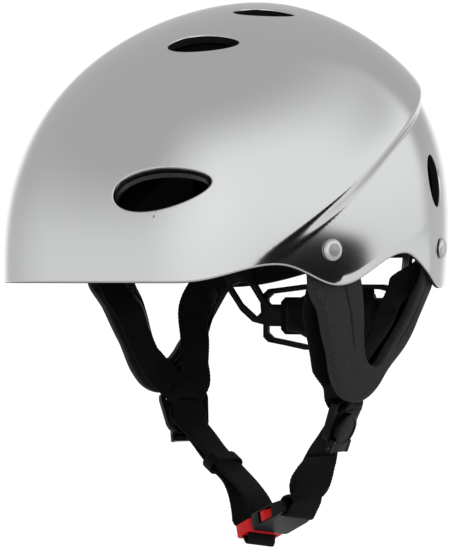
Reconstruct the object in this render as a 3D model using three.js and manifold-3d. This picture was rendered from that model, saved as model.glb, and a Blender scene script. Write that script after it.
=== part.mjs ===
// Whitewater helmet: a hard shell over a foam liner, with U-shaped ear guards, a webbing harness
// closed by a side-release buckle, and a nape cradle tightened by a dial.
// Millimetres. +Z up, -Y is the brow, +X is the wearer's left. Z = 0 is the brow rim.
import * as THREE from 'three';
import { mergeVertices } from 'three/addons/utils/BufferGeometryUtils.js';
import Module from 'manifold-3d';

const wasm = await Module();
wasm.setup();

// ---------- driving dimensions ----------
const SHELL = {
  side: 109.6, front: 169, rear: 108, // half-axes of the plan, from the plan's centre
  centreY: 28.3, height: 165.5,
  planPower: 2.116, frontPower: 2.49, rearPower: 3.28, roundness: 0.57,
  flare: 5.2, flareLength: 30, recess: 0.6, recessLength: 22,
  creaseStart: 39, creaseSpan: 122, creaseHeight: 121, // degrees, degrees, mm
  creaseDrop: 4.5, // how much lower the crease's step is at the sides than at the rear
  lipStart: 68, lipRise: 0.83, lipSlope: 0.15, // band tucked in along the rim behind the ear
  tuck: 0.022, tuckFront: 0.004, tuckHeight: 70,
  wall: 3,
  rings: 56, levels: 12, // facets around and up the shell
};
const CUT_DEPTH = 24; // how far a vent reaches in through the shell and the foam
// the rim turns between these levels: [degrees from the brow, height]
const RIM_TURNS = [[30, 0], [52, 9.6], [70.5, -1.7], [97, 16.5], [121, -3.2], [175, 15]];
const GAP = 0.5; // between pieces that touch
const LINER = {
  thickness: 10, clearance: 2.7, padGap: 1.4, // clearance to the shell's inner face
  top: 114, crownStart: 127, crownFloor: 135,
};
const VENTS = [
  // centre angle and height, length, width, narrowing toward the far end, rise of the long axis
  { angle: 26.8, z: 51.8, length: 54, width: 22, narrowing: 0.22, rise: 10.5 },
  { angle: 27, z: 134.9, length: 40, width: 16, narrowing: 0.15, rise: 8 },
  { angle: 50, z: 156, length: 37, width: 13, narrowing: 0.1, rise: 0 },
  { angle: 115.5, z: 59, length: 30, width: 17, narrowing: 0.05, rise: -90 },
];
const RIVET = { head: 6, headHeight: 2.2, shank: 2.2, hole: 2.6, tail: 3.2 };
const RIVET_SIDE = { angle: 68, z: 18.4 };
const RIVET_REAR = { angle: 119, z: 20 };
const EAR = { coverThickness: 6, tabThickness: 3, padThickness: 7, lean: 0.19, rimLevel: -3 };
const WEB = { width: 20, thickness: 1.6 };
const DIVIDER = {
  centre: [69, 27.3, -78.5], turn: 16.8, tilt: 22, // degrees about Z and about the width axis
  topWidth: 33, bottomWidth: 25, height: 28, thickness: 4,
};
const LOCK = { radius: 10, thickness: 3, centreUp: -4, hingeUp: -15.6, pin: 1 };
const BUCKLE = {
  joint: [5.5, 28, -142.7], slope: 24.4, roll: 10, // plug face, degrees
  socketLength: 30, width: 27, thickness: 9.2, cavityLength: 21.5, cavityWidth: 20.4,
  plugLength: 16, plugWidth: 25, plugThickness: 5,
};
const CRADLE = {
  centreY: -44, radius: 140, // the arc that the bands slide on
  frameHalf: 60.5, frameBar: 3, housingHalf: 47, middleZ: -20.5, travel: 7,
};
const HANGER = { across: 76, z: 29, post: 2, flange: 4 };
const DIAL = { pinion: 3.2, knob: 17, knobDepth: 8 };

const COLOUR = { shell: 0xb9babc, foam: 0x1b1b1c, cover: 0x2e2e2f, web: 0x131314, plastic: 0x161617,
  steel: 0xd5d6d8, red: 0xaf2328, fabric: 0x202022 };
const material = (colour, roughness, metalness) =>
  new THREE.MeshStandardMaterial({ color: colour, roughness, metalness });
const MATERIAL = {
  shell: material(COLOUR.shell, 0.28, 0.9),
  steel: material(COLOUR.steel, 0.2, 1),
  foam: material(COLOUR.foam, 0.9, 0),
  cover: material(COLOUR.cover, 0.8, 0),
  fabric: material(COLOUR.fabric, 0.95, 0),
  web: material(COLOUR.web, 0.85, 0),
  plastic: material(COLOUR.plastic, 0.45, 0),
  red: material(COLOUR.red, 0.4, 0),
};

const helmet = new THREE.Group();
const V = (x, y, z) => new THREE.Vector3(x, y, z);
const radians = THREE.MathUtils.degToRad;
const ease = THREE.MathUtils.smoothstep;

function add(name, geometry, look) {
  geometry.computeVertexNormals();
  const mesh = new THREE.Mesh(geometry, look);
  mesh.name = name;
  helmet.add(mesh);
}

// ---------- solids ----------
function closed(points, triangles) {
  const raw = new THREE.BufferGeometry();
  raw.setAttribute('position', new THREE.Float32BufferAttribute(points.flatMap((p) => [p.x, p.y, p.z]), 3));
  raw.setIndex(triangles.flat());
  const merged = mergeVertices(raw, 1e-3);
  const index = merged.getIndex().array;
  const kept = [];
  for (let i = 0; i < index.length; i += 3) {
    const [a, b, c] = [index[i], index[i + 1], index[i + 2]];
    if (a !== b && b !== c && a !== c) kept.push(a, b, c);
  }
  merged.setIndex(kept);
  return volume(merged) < 0 ? flipped(merged) : merged;
}

function volume(geometry) {
  const p = geometry.getAttribute('position');
  const index = geometry.getIndex().array;
  const corner = [V(), V(), V()];
  let sum = 0;
  for (let i = 0; i < index.length; i += 3) {
    corner.forEach((v, k) => v.fromBufferAttribute(p, index[i + k]));
    sum += corner[0].dot(corner[1].cross(corner[2])) / 6;
  }
  return sum;
}

function flipped(geometry) {
  const index = Array.from(geometry.getIndex().array);
  for (let i = 0; i < index.length; i += 3) [index[i], index[i + 1]] = [index[i + 1], index[i]];
  geometry.setIndex(index);
  return geometry;
}

// the solid between two grids of points; ring joins the last row back to the first
function between(front, back, ring = false) {
  const rows = front.length;
  const cols = front[0].length;
  const at = (side, i, j) => side * rows * cols + (i % rows) * cols + j;
  const triangles = [];
  const quad = (a, b, c, d) => triangles.push([a, b, c], [a, c, d]);
  const lastRow = ring ? rows : rows - 1;
  for (let i = 0; i < lastRow; i += 1) {
    for (let j = 0; j < cols - 1; j += 1) {
      quad(at(0, i, j), at(0, i + 1, j), at(0, i + 1, j + 1), at(0, i, j + 1));
      quad(at(1, i, j), at(1, i, j + 1), at(1, i + 1, j + 1), at(1, i + 1, j));
    }
    quad(at(0, i, 0), at(1, i, 0), at(1, i + 1, 0), at(0, i + 1, 0));
    const j = cols - 1;
    quad(at(0, i, j), at(0, i + 1, j), at(1, i + 1, j), at(1, i, j));
  }
  if (!ring) {
    for (let j = 0; j < cols - 1; j += 1) {
      quad(at(0, 0, j), at(0, 0, j + 1), at(1, 0, j + 1), at(1, 0, j));
      const i = rows - 1;
      quad(at(0, i, j), at(1, i, j), at(1, i, j + 1), at(0, i, j + 1));
    }
  }
  return closed([...front.flat(), ...back.flat()], triangles);
}

function toManifold(geometry) {
  const merged = geometry.userData.welded ? geometry : mergedIndex(geometry.clone());
  return new wasm.Manifold(new wasm.Mesh({
    numProp: 3,
    vertProperties: Float32Array.from(merged.getAttribute('position').array),
    triVerts: Uint32Array.from(merged.getIndex().array),
  }));
}

function toGeometry(manifold) {
  const mesh = manifold.getMesh();
  const geometry = new THREE.BufferGeometry();
  const points = [];
  for (let i = 0; i < mesh.vertProperties.length; i += mesh.numProp) {
    points.push(mesh.vertProperties[i], mesh.vertProperties[i + 1], mesh.vertProperties[i + 2]);
  }
  geometry.setAttribute('position', new THREE.Float32BufferAttribute(points, 3));
  geometry.setIndex(Array.from(mesh.triVerts));
  geometry.userData.welded = true;
  return geometry;
}

const cut = (body, ...tools) =>
  toGeometry(tools.reduce((solid, tool) => solid.subtract(toManifold(tool)), toManifold(body)));
const join = (body, ...others) =>
  toGeometry(others.reduce((solid, other) => solid.add(toManifold(other)), toManifold(body)));

function mirrored(geometry) {
  const copy = geometry.clone().applyMatrix4(new THREE.Matrix4().makeScale(-1, 1, 1));
  return flipped(copy);
}

// three axes at an origin
const frame = (origin, x, y, z) => new THREE.Matrix4().makeBasis(x, y, z).setPosition(origin);
const placed = (geometry, matrix) => geometry.clone().applyMatrix4(matrix);

function slab(outline, z0, z1, holes = []) {
  const shape = new THREE.Shape(THREE.ShapeUtils.isClockWise(outline) ? outline.slice().reverse() : outline);
  holes.forEach((hole) => shape.holes.push(new THREE.Path(hole)));
  const solid = new THREE.ExtrudeGeometry(shape, { depth: z1 - z0, bevelEnabled: false });
  return mergedIndex(solid.translate(0, 0, z0));
}

function mergedIndex(geometry) {
  geometry.deleteAttribute('normal');
  geometry.deleteAttribute('uv');
  return mergeVertices(geometry, 1e-4);
}

function block(x0, x1, y0, y1, z0, z1) {
  const box = new THREE.BoxGeometry(x1 - x0, y1 - y0, z1 - z0);
  return mergedIndex(box.translate((x0 + x1) / 2, (y0 + y1) / 2, (z0 + z1) / 2));
}

function roundedOutline(width, height, radius, steps = 3) {
  const points = [];
  [[1, 1], [-1, 1], [-1, -1], [1, -1]].forEach(([sx, sy], corner) => {
    for (let k = 0; k <= steps; k += 1) {
      const a = (corner + k / steps) * Math.PI / 2;
      points.push(new THREE.Vector2(sx * (width / 2 - radius) + radius * Math.cos(a),
        sy * (height / 2 - radius) + radius * Math.sin(a)));
    }
  });
  return points;
}

// profile points are [radius, height]; the turned solid's axis is Z
function turned(profile, segments = 20) {
  const points = profile.map(([r, h]) => new THREE.Vector2(r, h));
  const solid = mergedIndex(new THREE.LatheGeometry(points, segments).rotateX(Math.PI / 2));
  return closedFrom(solid);
}

// the same solid with its normals checked and its slivers dropped
function closedFrom(geometry) {
  const p = geometry.getAttribute('position');
  const index = Array.from(geometry.getIndex().array);
  const points = Array.from({ length: p.count }, (_, i) => V().fromBufferAttribute(p, i));
  const triangles = [];
  for (let i = 0; i < index.length; i += 3) triangles.push(index.slice(i, i + 3));
  return closed(points, triangles);
}

const rod = (radius, h0, h1, segments = 10) =>
  turned([[0, h0], [radius, h0], [radius, h1], [0, h1]], segments);

// a smooth line through points, sampled evenly
function smooth(points, steps) {
  return new THREE.CatmullRomCurve3(points, false, 'centripetal').getSpacedPoints(steps);
}

// ---------- the shell's outer surface ----------
function rimHeight(degrees) {
  const t = Math.abs(degrees);
  const next = RIM_TURNS.findIndex(([at]) => t < at);
  if (next === 0) return RIM_TURNS[0][1];
  if (next < 0) return RIM_TURNS[RIM_TURNS.length - 1][1];
  const [a, za] = RIM_TURNS[next - 1];
  const [b, zb] = RIM_TURNS[next];
  return za + (zb - za) * (1 - Math.cos(Math.PI * (t - a) / (b - a))) / 2;
}

const creaseHeight = (degrees) => SHELL.creaseHeight * Math.sin(
  Math.PI / 2 * THREE.MathUtils.clamp((Math.abs(degrees) - SHELL.creaseStart) / SHELL.creaseSpan, -0.2, 1));

function lip(degrees, z) {
  const edge = SHELL.lipRise * (Math.abs(degrees) - SHELL.lipStart);
  const share = ease(Math.abs(degrees), 66, 72) * (1 - ease(Math.abs(degrees), 98, 112));
  return SHELL.lipSlope * share * Math.max(0, edge - Math.max(z, rimHeight(degrees)));
}

function surface(degrees, z) {
  const c = Math.cos(radians(degrees));
  const s = Math.sin(radians(degrees));
  const half = c > 0 ? SHELL.front : SHELL.rear;
  const plan = ((Math.abs(s) / SHELL.side) ** SHELL.planPower
    + (Math.abs(c) / half) ** SHELL.planPower) ** (-1 / SHELL.planPower);
  const power = SHELL.frontPower + (SHELL.rearPower - SHELL.frontPower) * (1 - c) / 2;
  const level = THREE.MathUtils.clamp(z / SHELL.height, 0, 1);
  const width = (1 - level ** power) ** SHELL.roundness;
  const away = z - creaseHeight(degrees) + SHELL.creaseDrop * (1 - ease(Math.abs(degrees), 70, 100));
  const step = ease(away, -5, 6);
  const above = Math.exp(-((Math.max(away, 0) / SHELL.flareLength) ** 2));
  const below = Math.exp(-((Math.min(away, 0) / SHELL.recessLength) ** 2));
  const swell = ease(Math.abs(degrees), 38, 100) * ease(width, 0, 0.35)
    * (SHELL.flare * above * step - SHELL.recess * below * (1 - step));
  const tuck = SHELL.tuckFront + SHELL.tuck * ease(Math.abs(degrees), 40, 120);
  const low = THREE.MathUtils.clamp(1 - z / SHELL.tuckHeight, 0, 1.3);
  const r = plan * width * (1 - tuck * low ** 2) + swell - lip(degrees, z);
  return V(r * s, SHELL.centreY - r * c, z);
}

function normalAt(degrees, z) {
  if (z > SHELL.height - 0.4) return V(0, 0, 1);
  const dz = Math.min(0.5, (SHELL.height - z) / 3);
  const along = surface(degrees + 0.5, z).sub(surface(degrees - 0.5, z));
  const up = surface(degrees, z + dz).sub(surface(degrees, z - dz));
  return along.cross(up).normalize();
}

const inside = (degrees, z, depth) => surface(degrees, z).addScaledVector(normalAt(degrees, z), -depth);

const levelAt = (degrees, v) => SHELL.height * Math.sin(Math.PI * v / 2) ** 0.8
  + rimHeight(degrees) * Math.max(0, 1 - v / 0.6) ** 3;

function shellGrid(depth) {
  return Array.from({ length: SHELL.rings }, (_, i) => {
    const degrees = -180 + 360 * i / SHELL.rings;
    return Array.from({ length: SHELL.levels + 1 }, (_, j) =>
      inside(degrees, levelAt(degrees, j / SHELL.levels), depth));
  });
}

// ---------- vents ----------
function ventFrame(vent) {
  const centre = surface(vent.angle, vent.z);
  const normal = normalAt(vent.angle, vent.z);
  const level = V(0, 0, 1).cross(normal).normalize();
  const up = normal.clone().cross(level);
  const rise = radians(vent.rise);
  const long = level.clone().multiplyScalar(Math.cos(rise)).addScaledVector(up, Math.sin(rise));
  return frame(centre, long, normal.clone().cross(long), normal);
}

function ventCutter(vent, grow, segments = 14) {
  const outline = Array.from({ length: segments }, (_, k) => {
    const a = 2 * Math.PI * k / segments;
    const half = (vent.width / 2 + grow) * Math.sin(a) * (1 - vent.narrowing * Math.cos(a));
    return new THREE.Vector2((vent.length / 2 + grow) * Math.cos(a), half);
  });
  return placed(slab(outline, -CUT_DEPTH, 16), ventFrame(vent));
}

const both = (geometry) => [geometry, mirrored(geometry)];
const ventCutters = (grow) => VENTS.flatMap((vent) => both(ventCutter(vent, grow)));

// ---------- rivets ----------
function rivetFrame({ angle, z }) {
  const normal = normalAt(angle, z);
  const level = V(0, 0, 1).cross(normal).normalize();
  return frame(surface(angle, z), level, normal.clone().cross(level), normal);
}
const rivetHole = (place) => placed(rod(RIVET.hole, -20, 8), rivetFrame(place));
const sideHole = rivetHole(RIVET_SIDE);
const rearHole = rivetHole(RIVET_REAR);

function rivet(tailDepth) {
  const lift = 0.4;
  const tail = -tailDepth;
  return turned([[0, tail - 1.6], [RIVET.tail - 1, tail - 1.6], [RIVET.tail, tail - 0.8], [RIVET.tail, tail],
    [RIVET.shank, tail], [RIVET.shank, lift], [RIVET.head, lift], [RIVET.head, lift + 0.9],
    [RIVET.head - 0.9, lift + RIVET.headHeight - 0.4], [RIVET.head - 2, lift + RIVET.headHeight],
    [0, lift + RIVET.headHeight]], 12);
}

const washer = (depth) => turned([[RIVET.hole, -depth], [4.5, -depth], [4.5, -depth - 1.2],
  [RIVET.hole, -depth - 1.2], [RIVET.hole, -depth]], 12);

const DEPTH = {
  cover: SHELL.wall + 1,
  strap: SHELL.wall + EAR.tabThickness + 1.5,
  hanger: SHELL.wall + EAR.tabThickness + WEB.thickness + 3,
};

add('shell', cut(between(shellGrid(0), shellGrid(SHELL.wall), true), ...ventCutters(0), ...both(sideHole),
  ...both(rearHole)), MATERIAL.shell);

[['side', RIVET_SIDE, DEPTH.strap + WEB.thickness + 0.6], ['rear', RIVET_REAR, DEPTH.hanger + 2.4]]
  .forEach(([where, place, depth]) => {
    const [left, right] = both(placed(rivet(depth + 1.6), rivetFrame(place)));
    add(`rivet_${where}_left`, left, MATERIAL.steel);
    add(`rivet_${where}_right`, right, MATERIAL.steel);
    const [washerLeft, washerRight] = both(placed(washer(depth), rivetFrame(place)));
    add(`washer_${where}_left`, washerLeft, MATERIAL.steel);
    add(`washer_${where}_right`, washerRight, MATERIAL.steel);
  });

// ---------- foam liner ----------
function panel(a0, a1, columns, z0, z1, rows, depth, thickness) {
  const grid = (d) => Array.from({ length: columns + 1 }, (_, i) => {
    const degrees = a0 + (a1 - a0) * i / columns;
    return Array.from({ length: rows + 1 }, (_, j) => inside(degrees, z0 + (z1 - z0) * j / rows, d));
  });
  return between(grid(depth), grid(depth + thickness));
}

const linerDepth = SHELL.wall + LINER.clearance;
const linerPanel = (a0, a1, columns, z0, z1, rows) =>
  panel(a0, a1, columns, z0, z1, rows, linerDepth, LINER.thickness);
const airways = ventCutters(-1.5); // front pair, top pair, crown pair, rear pair
add('liner_front', cut(linerPanel(-50, 50, 10, 8, LINER.top, 5), ...airways.slice(0, 4)), MATERIAL.foam);
const [linerLeft, linerRight] = both(linerPanel(52, 105, 5, 36, LINER.top, 4));
add('liner_left', linerLeft, MATERIAL.foam);
add('liner_right', linerRight, MATERIAL.foam);
add('liner_rear', cut(linerPanel(107, 253, 10, 44, 102, 4), ...airways.slice(6)), MATERIAL.foam);

function cap(z0, rings, levels, depth) {
  return Array.from({ length: rings }, (_, i) => Array.from({ length: levels + 1 }, (_, j) => {
    const z = SHELL.height - (SHELL.height - z0) * (1 - j / levels) ** 1.7;
    return inside(-180 + 360 * i / rings, z, depth);
  }));
}
add('liner_crown', cut(between(cap(LINER.crownStart, 24, 3, linerDepth),
  cap(LINER.crownStart, 24, 3, linerDepth + LINER.thickness), true), ...airways.slice(2, 6)), MATERIAL.foam);

// comfort pads
const padDepth = linerDepth + LINER.thickness + LINER.padGap;
add('brow_pad', panel(-34, 34, 8, 12, 42, 3, padDepth, 5), MATERIAL.fabric);

const crownTop = cap(158.5, 24, 2, padDepth + 0.6);
const crownFace = crownTop.map((row) => row.map((p) => V(p.x, p.y, LINER.crownFloor)));
add('crown_pad', between(crownTop, crownFace, true), MATERIAL.fabric);

// ---------- ear guards ----------
// a point that hangs below the shell's side wall: y along the head, z up, depth in from the outside
function sidePoint(y, z, depth) {
  const level = Math.max(z, EAR.rimLevel);
  let [lower, upper] = [20, 165];
  for (let k = 0; k < 24; k += 1) {
    const middle = (lower + upper) / 2;
    if (surface(middle, level).y < y) lower = middle; else upper = middle;
  }
  const n = normalAt(lower, level).setZ(0).normalize();
  const p = surface(lower, level).addScaledVector(n, -depth - EAR.lean * (level - z));
  return V(p.x, p.y, z);
}

const flat = (points) => points.map(([y, z]) => V(y, z, 0));
const EAR_OUTER = flat([[-27, 29], [-27.5, 12], [-26, -2], [-15.5, -17], [-6, -37], [0.5, -54], [9, -64],
  [22, -67.5], [35, -62], [47, -50], [58, -39], [67, -27], [77, -12], [84, -1], [89, 12], [91, 29]]);
const EAR_INNER = flat([[2, 29], [8, 12], [13, -3], [17, -18], [20, -34], [23.5, -42.5], [28, -46],
  [33, -46.5], [39, -42.5], [45.5, -35], [52.5, -25.5], [58, -16], [62, -7], [65.5, 2], [68.5, 14],
  [70, 29]]);

function earSlab(depthAt, thicknessAt, inset, top) {
  const steps = 22;
  const outer = smooth(EAR_OUTER, steps);
  const inner = smooth(EAR_INNER, steps);
  const grid = (extra) => outer.map((o, i) => Array.from({ length: 3 }, (_, j) => {
    const span = outer[i].distanceTo(inner[i]);
    const t = THREE.MathUtils.lerp(inset / span, 1 - inset / span, j / 2);
    const y = THREE.MathUtils.lerp(o.x, inner[i].x, t);
    const z = Math.min(THREE.MathUtils.lerp(o.y, inner[i].y, t), top);
    return sidePoint(y, z, depthAt(z) + extra * thicknessAt(z));
  })).filter((row, i) => Math.min(outer[i].y, inner[i].y) < top + 6);
  return between(grid(0), grid(1));
}

const coverThickness = (z) => THREE.MathUtils.lerp(EAR.coverThickness, EAR.tabThickness, ease(z, -12, 4));
const cover = cut(earSlab(() => DEPTH.cover, coverThickness, 0, 29), sideHole, rearHole);
const padStart = (z) => DEPTH.cover + coverThickness(z) + GAP;
const padThickness = (z) => THREE.MathUtils.lerp(EAR.padThickness, 2, ease(z, -16, -4));
const innerPad = earSlab(padStart, padThickness, 3.5, -4.5);
const innerFace = DEPTH.cover + EAR.coverThickness + EAR.padThickness + 2 * GAP;
[['left', (g) => g], ['right', mirrored]].forEach(([side, on]) => {
  add(`ear_guard_${side}`, on(cover), MATERIAL.cover);
  add(`ear_pad_${side}`, on(innerPad), MATERIAL.foam);
});

// ---------- webbing ----------
// upper legs lie along the side wall: [y, z, depth]
function wallStrap(path, steps) {
  const centre = smooth(path.map(([y, z, d]) => V(y, z, d)), steps);
  const edges = centre.map((p, i) => {
    const t = centre[Math.min(i + 1, steps)].clone().sub(centre[Math.max(i - 1, 0)]).setZ(0).normalize();
    return V(-t.y, t.x, 0).multiplyScalar(WEB.width / 2);
  });
  const grid = (extra) => centre.map((p, i) => [-1, 0, 1].map((k) =>
    sidePoint(p.x + k * edges[i].x, p.y + k * edges[i].y, p.z + extra)));
  return between(grid(0), grid(WEB.thickness));
}
const strapFront = [[-14.5, 28, DEPTH.strap], [-14.5, 11, DEPTH.strap + 0.2], [-15, 4, 11.5],
  [-14, -5, innerFace], [-9, -17, innerFace], [-2, -31, innerFace], [6, -45, innerFace],
  [13, -56, innerFace + 1]];
const rearStrap = (shift) => [[80.5, 28, DEPTH.strap], [80.5, 12, DEPTH.strap + 0.2],
  [75, 5, 10.5], [64 - shift, -5, innerFace], [57 - shift, -17, innerFace + 0.5],
  [52 - 0.6 * shift, -36, innerFace + 2.2], [45 - 0.2 * shift, -54, innerFace + 2.4]];
const frontLeg = cut(wallStrap(strapFront, 12), sideHole);
add('strap_front_left', frontLeg, MATERIAL.web);
add('strap_front_right', mirrored(frontLeg), MATERIAL.web);
add('strap_rear_left', cut(wallStrap(rearStrap(0), 12), rearHole), MATERIAL.web);
add('strap_rear_right', mirrored(cut(wallStrap(rearStrap(8), 12), rearHole)), MATERIAL.web);

// free webbing: rows of [x, y, z, width axis x, y, z]
function ribbon(rows, steps, width = WEB.width, thickness = WEB.thickness) {
  const centre = smooth(rows.map(([x, y, z]) => V(x, y, z)), steps);
  const across = smooth(rows.map(([, , , x, y, z]) => V(x, y, z)), steps);
  const grid = (side) => centre.map((p, i) => {
    const t = centre[Math.min(i + 1, steps)].clone().sub(centre[Math.max(i - 1, 0)]).normalize();
    const w = across[i].clone().addScaledVector(t, -across[i].dot(t)).normalize();
    const n = t.clone().cross(w).multiplyScalar(side * thickness / 2);
    return [-1, 1].map((k) => p.clone().addScaledVector(w, k * width / 2).add(n));
  });
  return between(grid(1), grid(-1));
}

const CHIN_LEFT = [[59.6, 25.4, -96.6, 0, 1, 0], [53.3, 26, -100.6, 0.3, 0.95, -0.05],
  [48, 28, -107, 0.5, 0.8, -0.2], [43, 28, -116, 0.5, 0.8, -0.25], [38.3, 28, -124, 0.25, 0.95, -0.2]];
const CHIN_RIGHT = [[-59.5, 26.2, -86.3, 0, 1, 0], [-52.5, 27, -92.6, 0, 1, 0], [-43.8, 28, -100.6, 0, 1, 0],
  [-28, 28, -110.6, 0, 1, 0], [-13.5, 28, -119.8, 0, 1, -0.05], [-4, 28, -127.5, 0, 1, -0.1],
  [0.5, 28, -134.5, 0.03, 1, -0.12], [0.4, 28, -139.4, 0.05, 1, -0.15]];
const TAIL = [[-14, 28, -146, 0.05, 1, -0.15], [-17.5, 28, -137, 0, 1, -0.1], [-24, 28, -124, 0, 1, 0],
  [-34, 28, -112, 0, 1, 0], [-44.5, 28, -103.4, 0, 1, 0], [-51.5, 27.5, -96.8, 0, 1, 0],
  [-57, 26.8, -91.8, 0, 1, 0]];
add('chin_strap_left', ribbon(CHIN_LEFT, 10), MATERIAL.web);
add('chin_strap_right', ribbon(CHIN_RIGHT, 16), MATERIAL.web);
add('strap_tail', ribbon(TAIL, 14), MATERIAL.web);

// the elastic keeper holds the tail against the strap
const keeperDirection = V(0.863, 0, -0.505);
const keeperAcross = V(0, 1, 0);
const keeperFrame = frame(V(-35.2, 28, -108), keeperDirection, keeperAcross,
  keeperDirection.clone().cross(keeperAcross));
add('keeper', placed(cut(block(-4, 4, -12.5, 12.5, -5.6, 5.6), block(-5, 5, -11.2, 11.2, -4.3, 4.3)),
  keeperFrame), MATERIAL.web);

// ---------- dividers ----------
const dividerAcross = V(-Math.sin(radians(DIVIDER.turn)), Math.cos(radians(DIVIDER.turn)), 0);
const outward = V(dividerAcross.y, -dividerAcross.x, 0);
const dividerUp = outward.clone().multiplyScalar(Math.sin(radians(DIVIDER.tilt)))
  .add(V(0, 0, Math.cos(radians(DIVIDER.tilt))));
const dividerFrame = frame(V(...DIVIDER.centre), dividerAcross, dividerUp,
  dividerAcross.clone().cross(dividerUp));

function trapezoid(top, bottom, height, radius) {
  return roundedOutline(top, height, radius).map((p) =>
    p.setX(p.x * THREE.MathUtils.lerp(bottom / top, 1, p.y / height + 0.5)));
}

const ears = [-1, 1].map((side) => block(side * 9 - 1.4, side * 9 + 1.4, LOCK.hingeUp - 2.2, -11, 1.6, 5.4));
const hingeLine = frame(V(0, LOCK.hingeUp, 3.4), V(0, 0, -1), V(0, 1, 0), V(1, 0, 0));
const pinHole = (radius) => placed(rod(radius, -11, 11, 12), hingeLine);
const dividerBody = cut(join(slab(trapezoid(DIVIDER.topWidth, DIVIDER.bottomWidth, DIVIDER.height, 6), -2, 2),
  ...ears), block(-12.5, 12.5, 6.5, 10.5, -3, 3), block(-10.5, 10.5, -10.5, -6.5, -3, 3), pinHole(1.4));
const lid = () => {
  const disc = slab(Array.from({ length: 20 }, (_, k) => {
    const a = 2 * Math.PI * k / 20;
    return new THREE.Vector2(LOCK.radius * Math.cos(a), LOCK.centreUp + LOCK.radius * Math.sin(a));
  }), 2.4, 2.4 + LOCK.thickness);
  const root = block(-7.2, 7.2, LOCK.hingeUp - 1.9, -11.5, 2.5, 5.3);
  return cut(join(disc, root), pinHole(1.4));
};
const pin = placed(rod(LOCK.pin, -10.4, 10.4, 12), hingeLine);
[['left', (g) => g], ['right', mirrored]].forEach(([side, on]) => {
  add(`divider_frame_${side}`, on(placed(dividerBody, dividerFrame)), MATERIAL.plastic);
  add(`divider_lock_${side}`, on(placed(lid(), dividerFrame)), MATERIAL.plastic);
  add(`lock_pin_${side}`, on(placed(pin, dividerFrame)), MATERIAL.steel);
});

// ---------- side-release buckle ----------
const slope = radians(BUCKLE.slope);
const roll = radians(BUCKLE.roll);
const buckleAlong = V(Math.cos(slope), 0, Math.sin(slope));
const buckleUp = V(-Math.sin(slope), 0, Math.cos(slope));
const buckleAcross = V(0, Math.cos(roll), 0).addScaledVector(buckleUp, -Math.sin(roll));
const buckleFrame = frame(V(...BUCKLE.joint), buckleAlong, buckleAcross,
  buckleAlong.clone().cross(buckleAcross));

const half = BUCKLE.width / 2;
const socketOutline = roundedOutline(BUCKLE.socketLength, BUCKLE.width, 3)
  .map((p) => p.setX(p.x + BUCKLE.socketLength / 2 + 0.2));
const socket = cut(slab(socketOutline, -BUCKLE.thickness / 2, BUCKLE.thickness / 2),
  block(-1, BUCKLE.cavityLength, -BUCKLE.cavityWidth / 2, BUCKLE.cavityWidth / 2, -2.7, 2.7),
  block(8.5, 19.5, -half - 1, half + 1, -2.7, 2.7),
  block(24, 27, -10.6, 10.6, -6, 6));
add('buckle_socket', placed(socket, buckleFrame), MATERIAL.plastic);

const plugOutline = roundedOutline(BUCKLE.plugLength, BUCKLE.plugWidth, 3)
  .map((p) => p.setX(p.x - BUCKLE.plugLength / 2 - 0.2));
const plug = join(cut(slab(plugOutline, -BUCKLE.plugThickness / 2, BUCKLE.plugThickness / 2),
  block(-8.5, -5, -10.6, 10.6, -3, 3), block(-13.6, -10.6, -10.6, 10.6, -3, 3)),
block(-1, 17, -1.8, 1.8, -2, 2));
add('buckle_plug', placed(plug, buckleFrame), MATERIAL.red);

const prongShape = [[0.2, 4.6], [0.2, 8.4], [9.6, 9.4], [9.6, 12.1], [13, 12.1], [19, 9], [19, 6.8],
  [12, 6.2], [4, 4.6]];
const prong = (side) => slab(prongShape.map(([u, w]) => new THREE.Vector2(u, side * w)), -2.2, 2.2);
add('prong_front', placed(closedFrom(prong(-1)), buckleFrame), MATERIAL.red);
add('prong_rear', placed(closedFrom(prong(1)), buckleFrame), MATERIAL.red);

// ---------- nape cradle ----------
// a point on the cradle's arc: x across, z up, r away from the arc's nominal radius
function arcPoint(x, z, r) {
  const angle = Math.asin(x / CRADLE.radius);
  const radius = CRADLE.radius + r;
  return V(radius * Math.sin(angle), CRADLE.centreY + radius * Math.cos(angle), z);
}

function bent(geometry) {
  const p = geometry.getAttribute('position');
  for (let i = 0; i < p.count; i += 1) {
    const q = arcPoint(p.getX(i), p.getY(i), p.getZ(i));
    p.setXYZ(i, q.x, q.y, q.z);
  }
  return flipped(geometry); // swapping height for depth turned the faces inwards
}

// a flat plate, outlined in x and z, is bent strip by strip so that it follows the arc
function arcPlate(outline, r0, r1, holes = [], pitch = 14) {
  const plate = toManifold(closedFrom(slab(outline, r0, r1, holes)));
  const xs = outline.map((p) => p.x);
  const [x0, x1] = [Math.min(...xs), Math.max(...xs)];
  const strips = [];
  for (let x = x0; x < x1 - 0.01; x += pitch) {
    const strip = toManifold(block(x, Math.min(x + pitch, x1), -200, 200, -40, 40));
    strips.push(toManifold(bent(toGeometry(plate.intersect(strip)))));
  }
  return toGeometry(strips.reduce((all, strip) => all.add(strip)));
}

const outline2 = (points) => points.map(([x, z]) => new THREE.Vector2(x, z));
const rectangle = (x0, x1, z0, z1) => outline2([[x0, z0], [x1, z0], [x1, z1], [x0, z1]]);
const symmetric = (points) => outline2([...points, ...points.slice().reverse().map(([x, z]) => [-x, z])]);
const middle = CRADLE.middleZ;

const frameOutline = (inset) => {
  const side = CRADLE.frameHalf - inset;
  return symmetric([[side - 27, middle + 19.5 - inset], [side - 3, middle + 16.5 - inset],
    [side, middle + 13.5 - inset], [side, middle - 13.5 + inset], [side - 3, middle - 16.5 + inset],
    [side - 27, middle - 21 + inset]]);
};
add('cradle_frame', arcPlate(frameOutline(0), 1.6, 4.6, [frameOutline(CRADLE.frameBar)]), MATERIAL.plastic);

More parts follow.
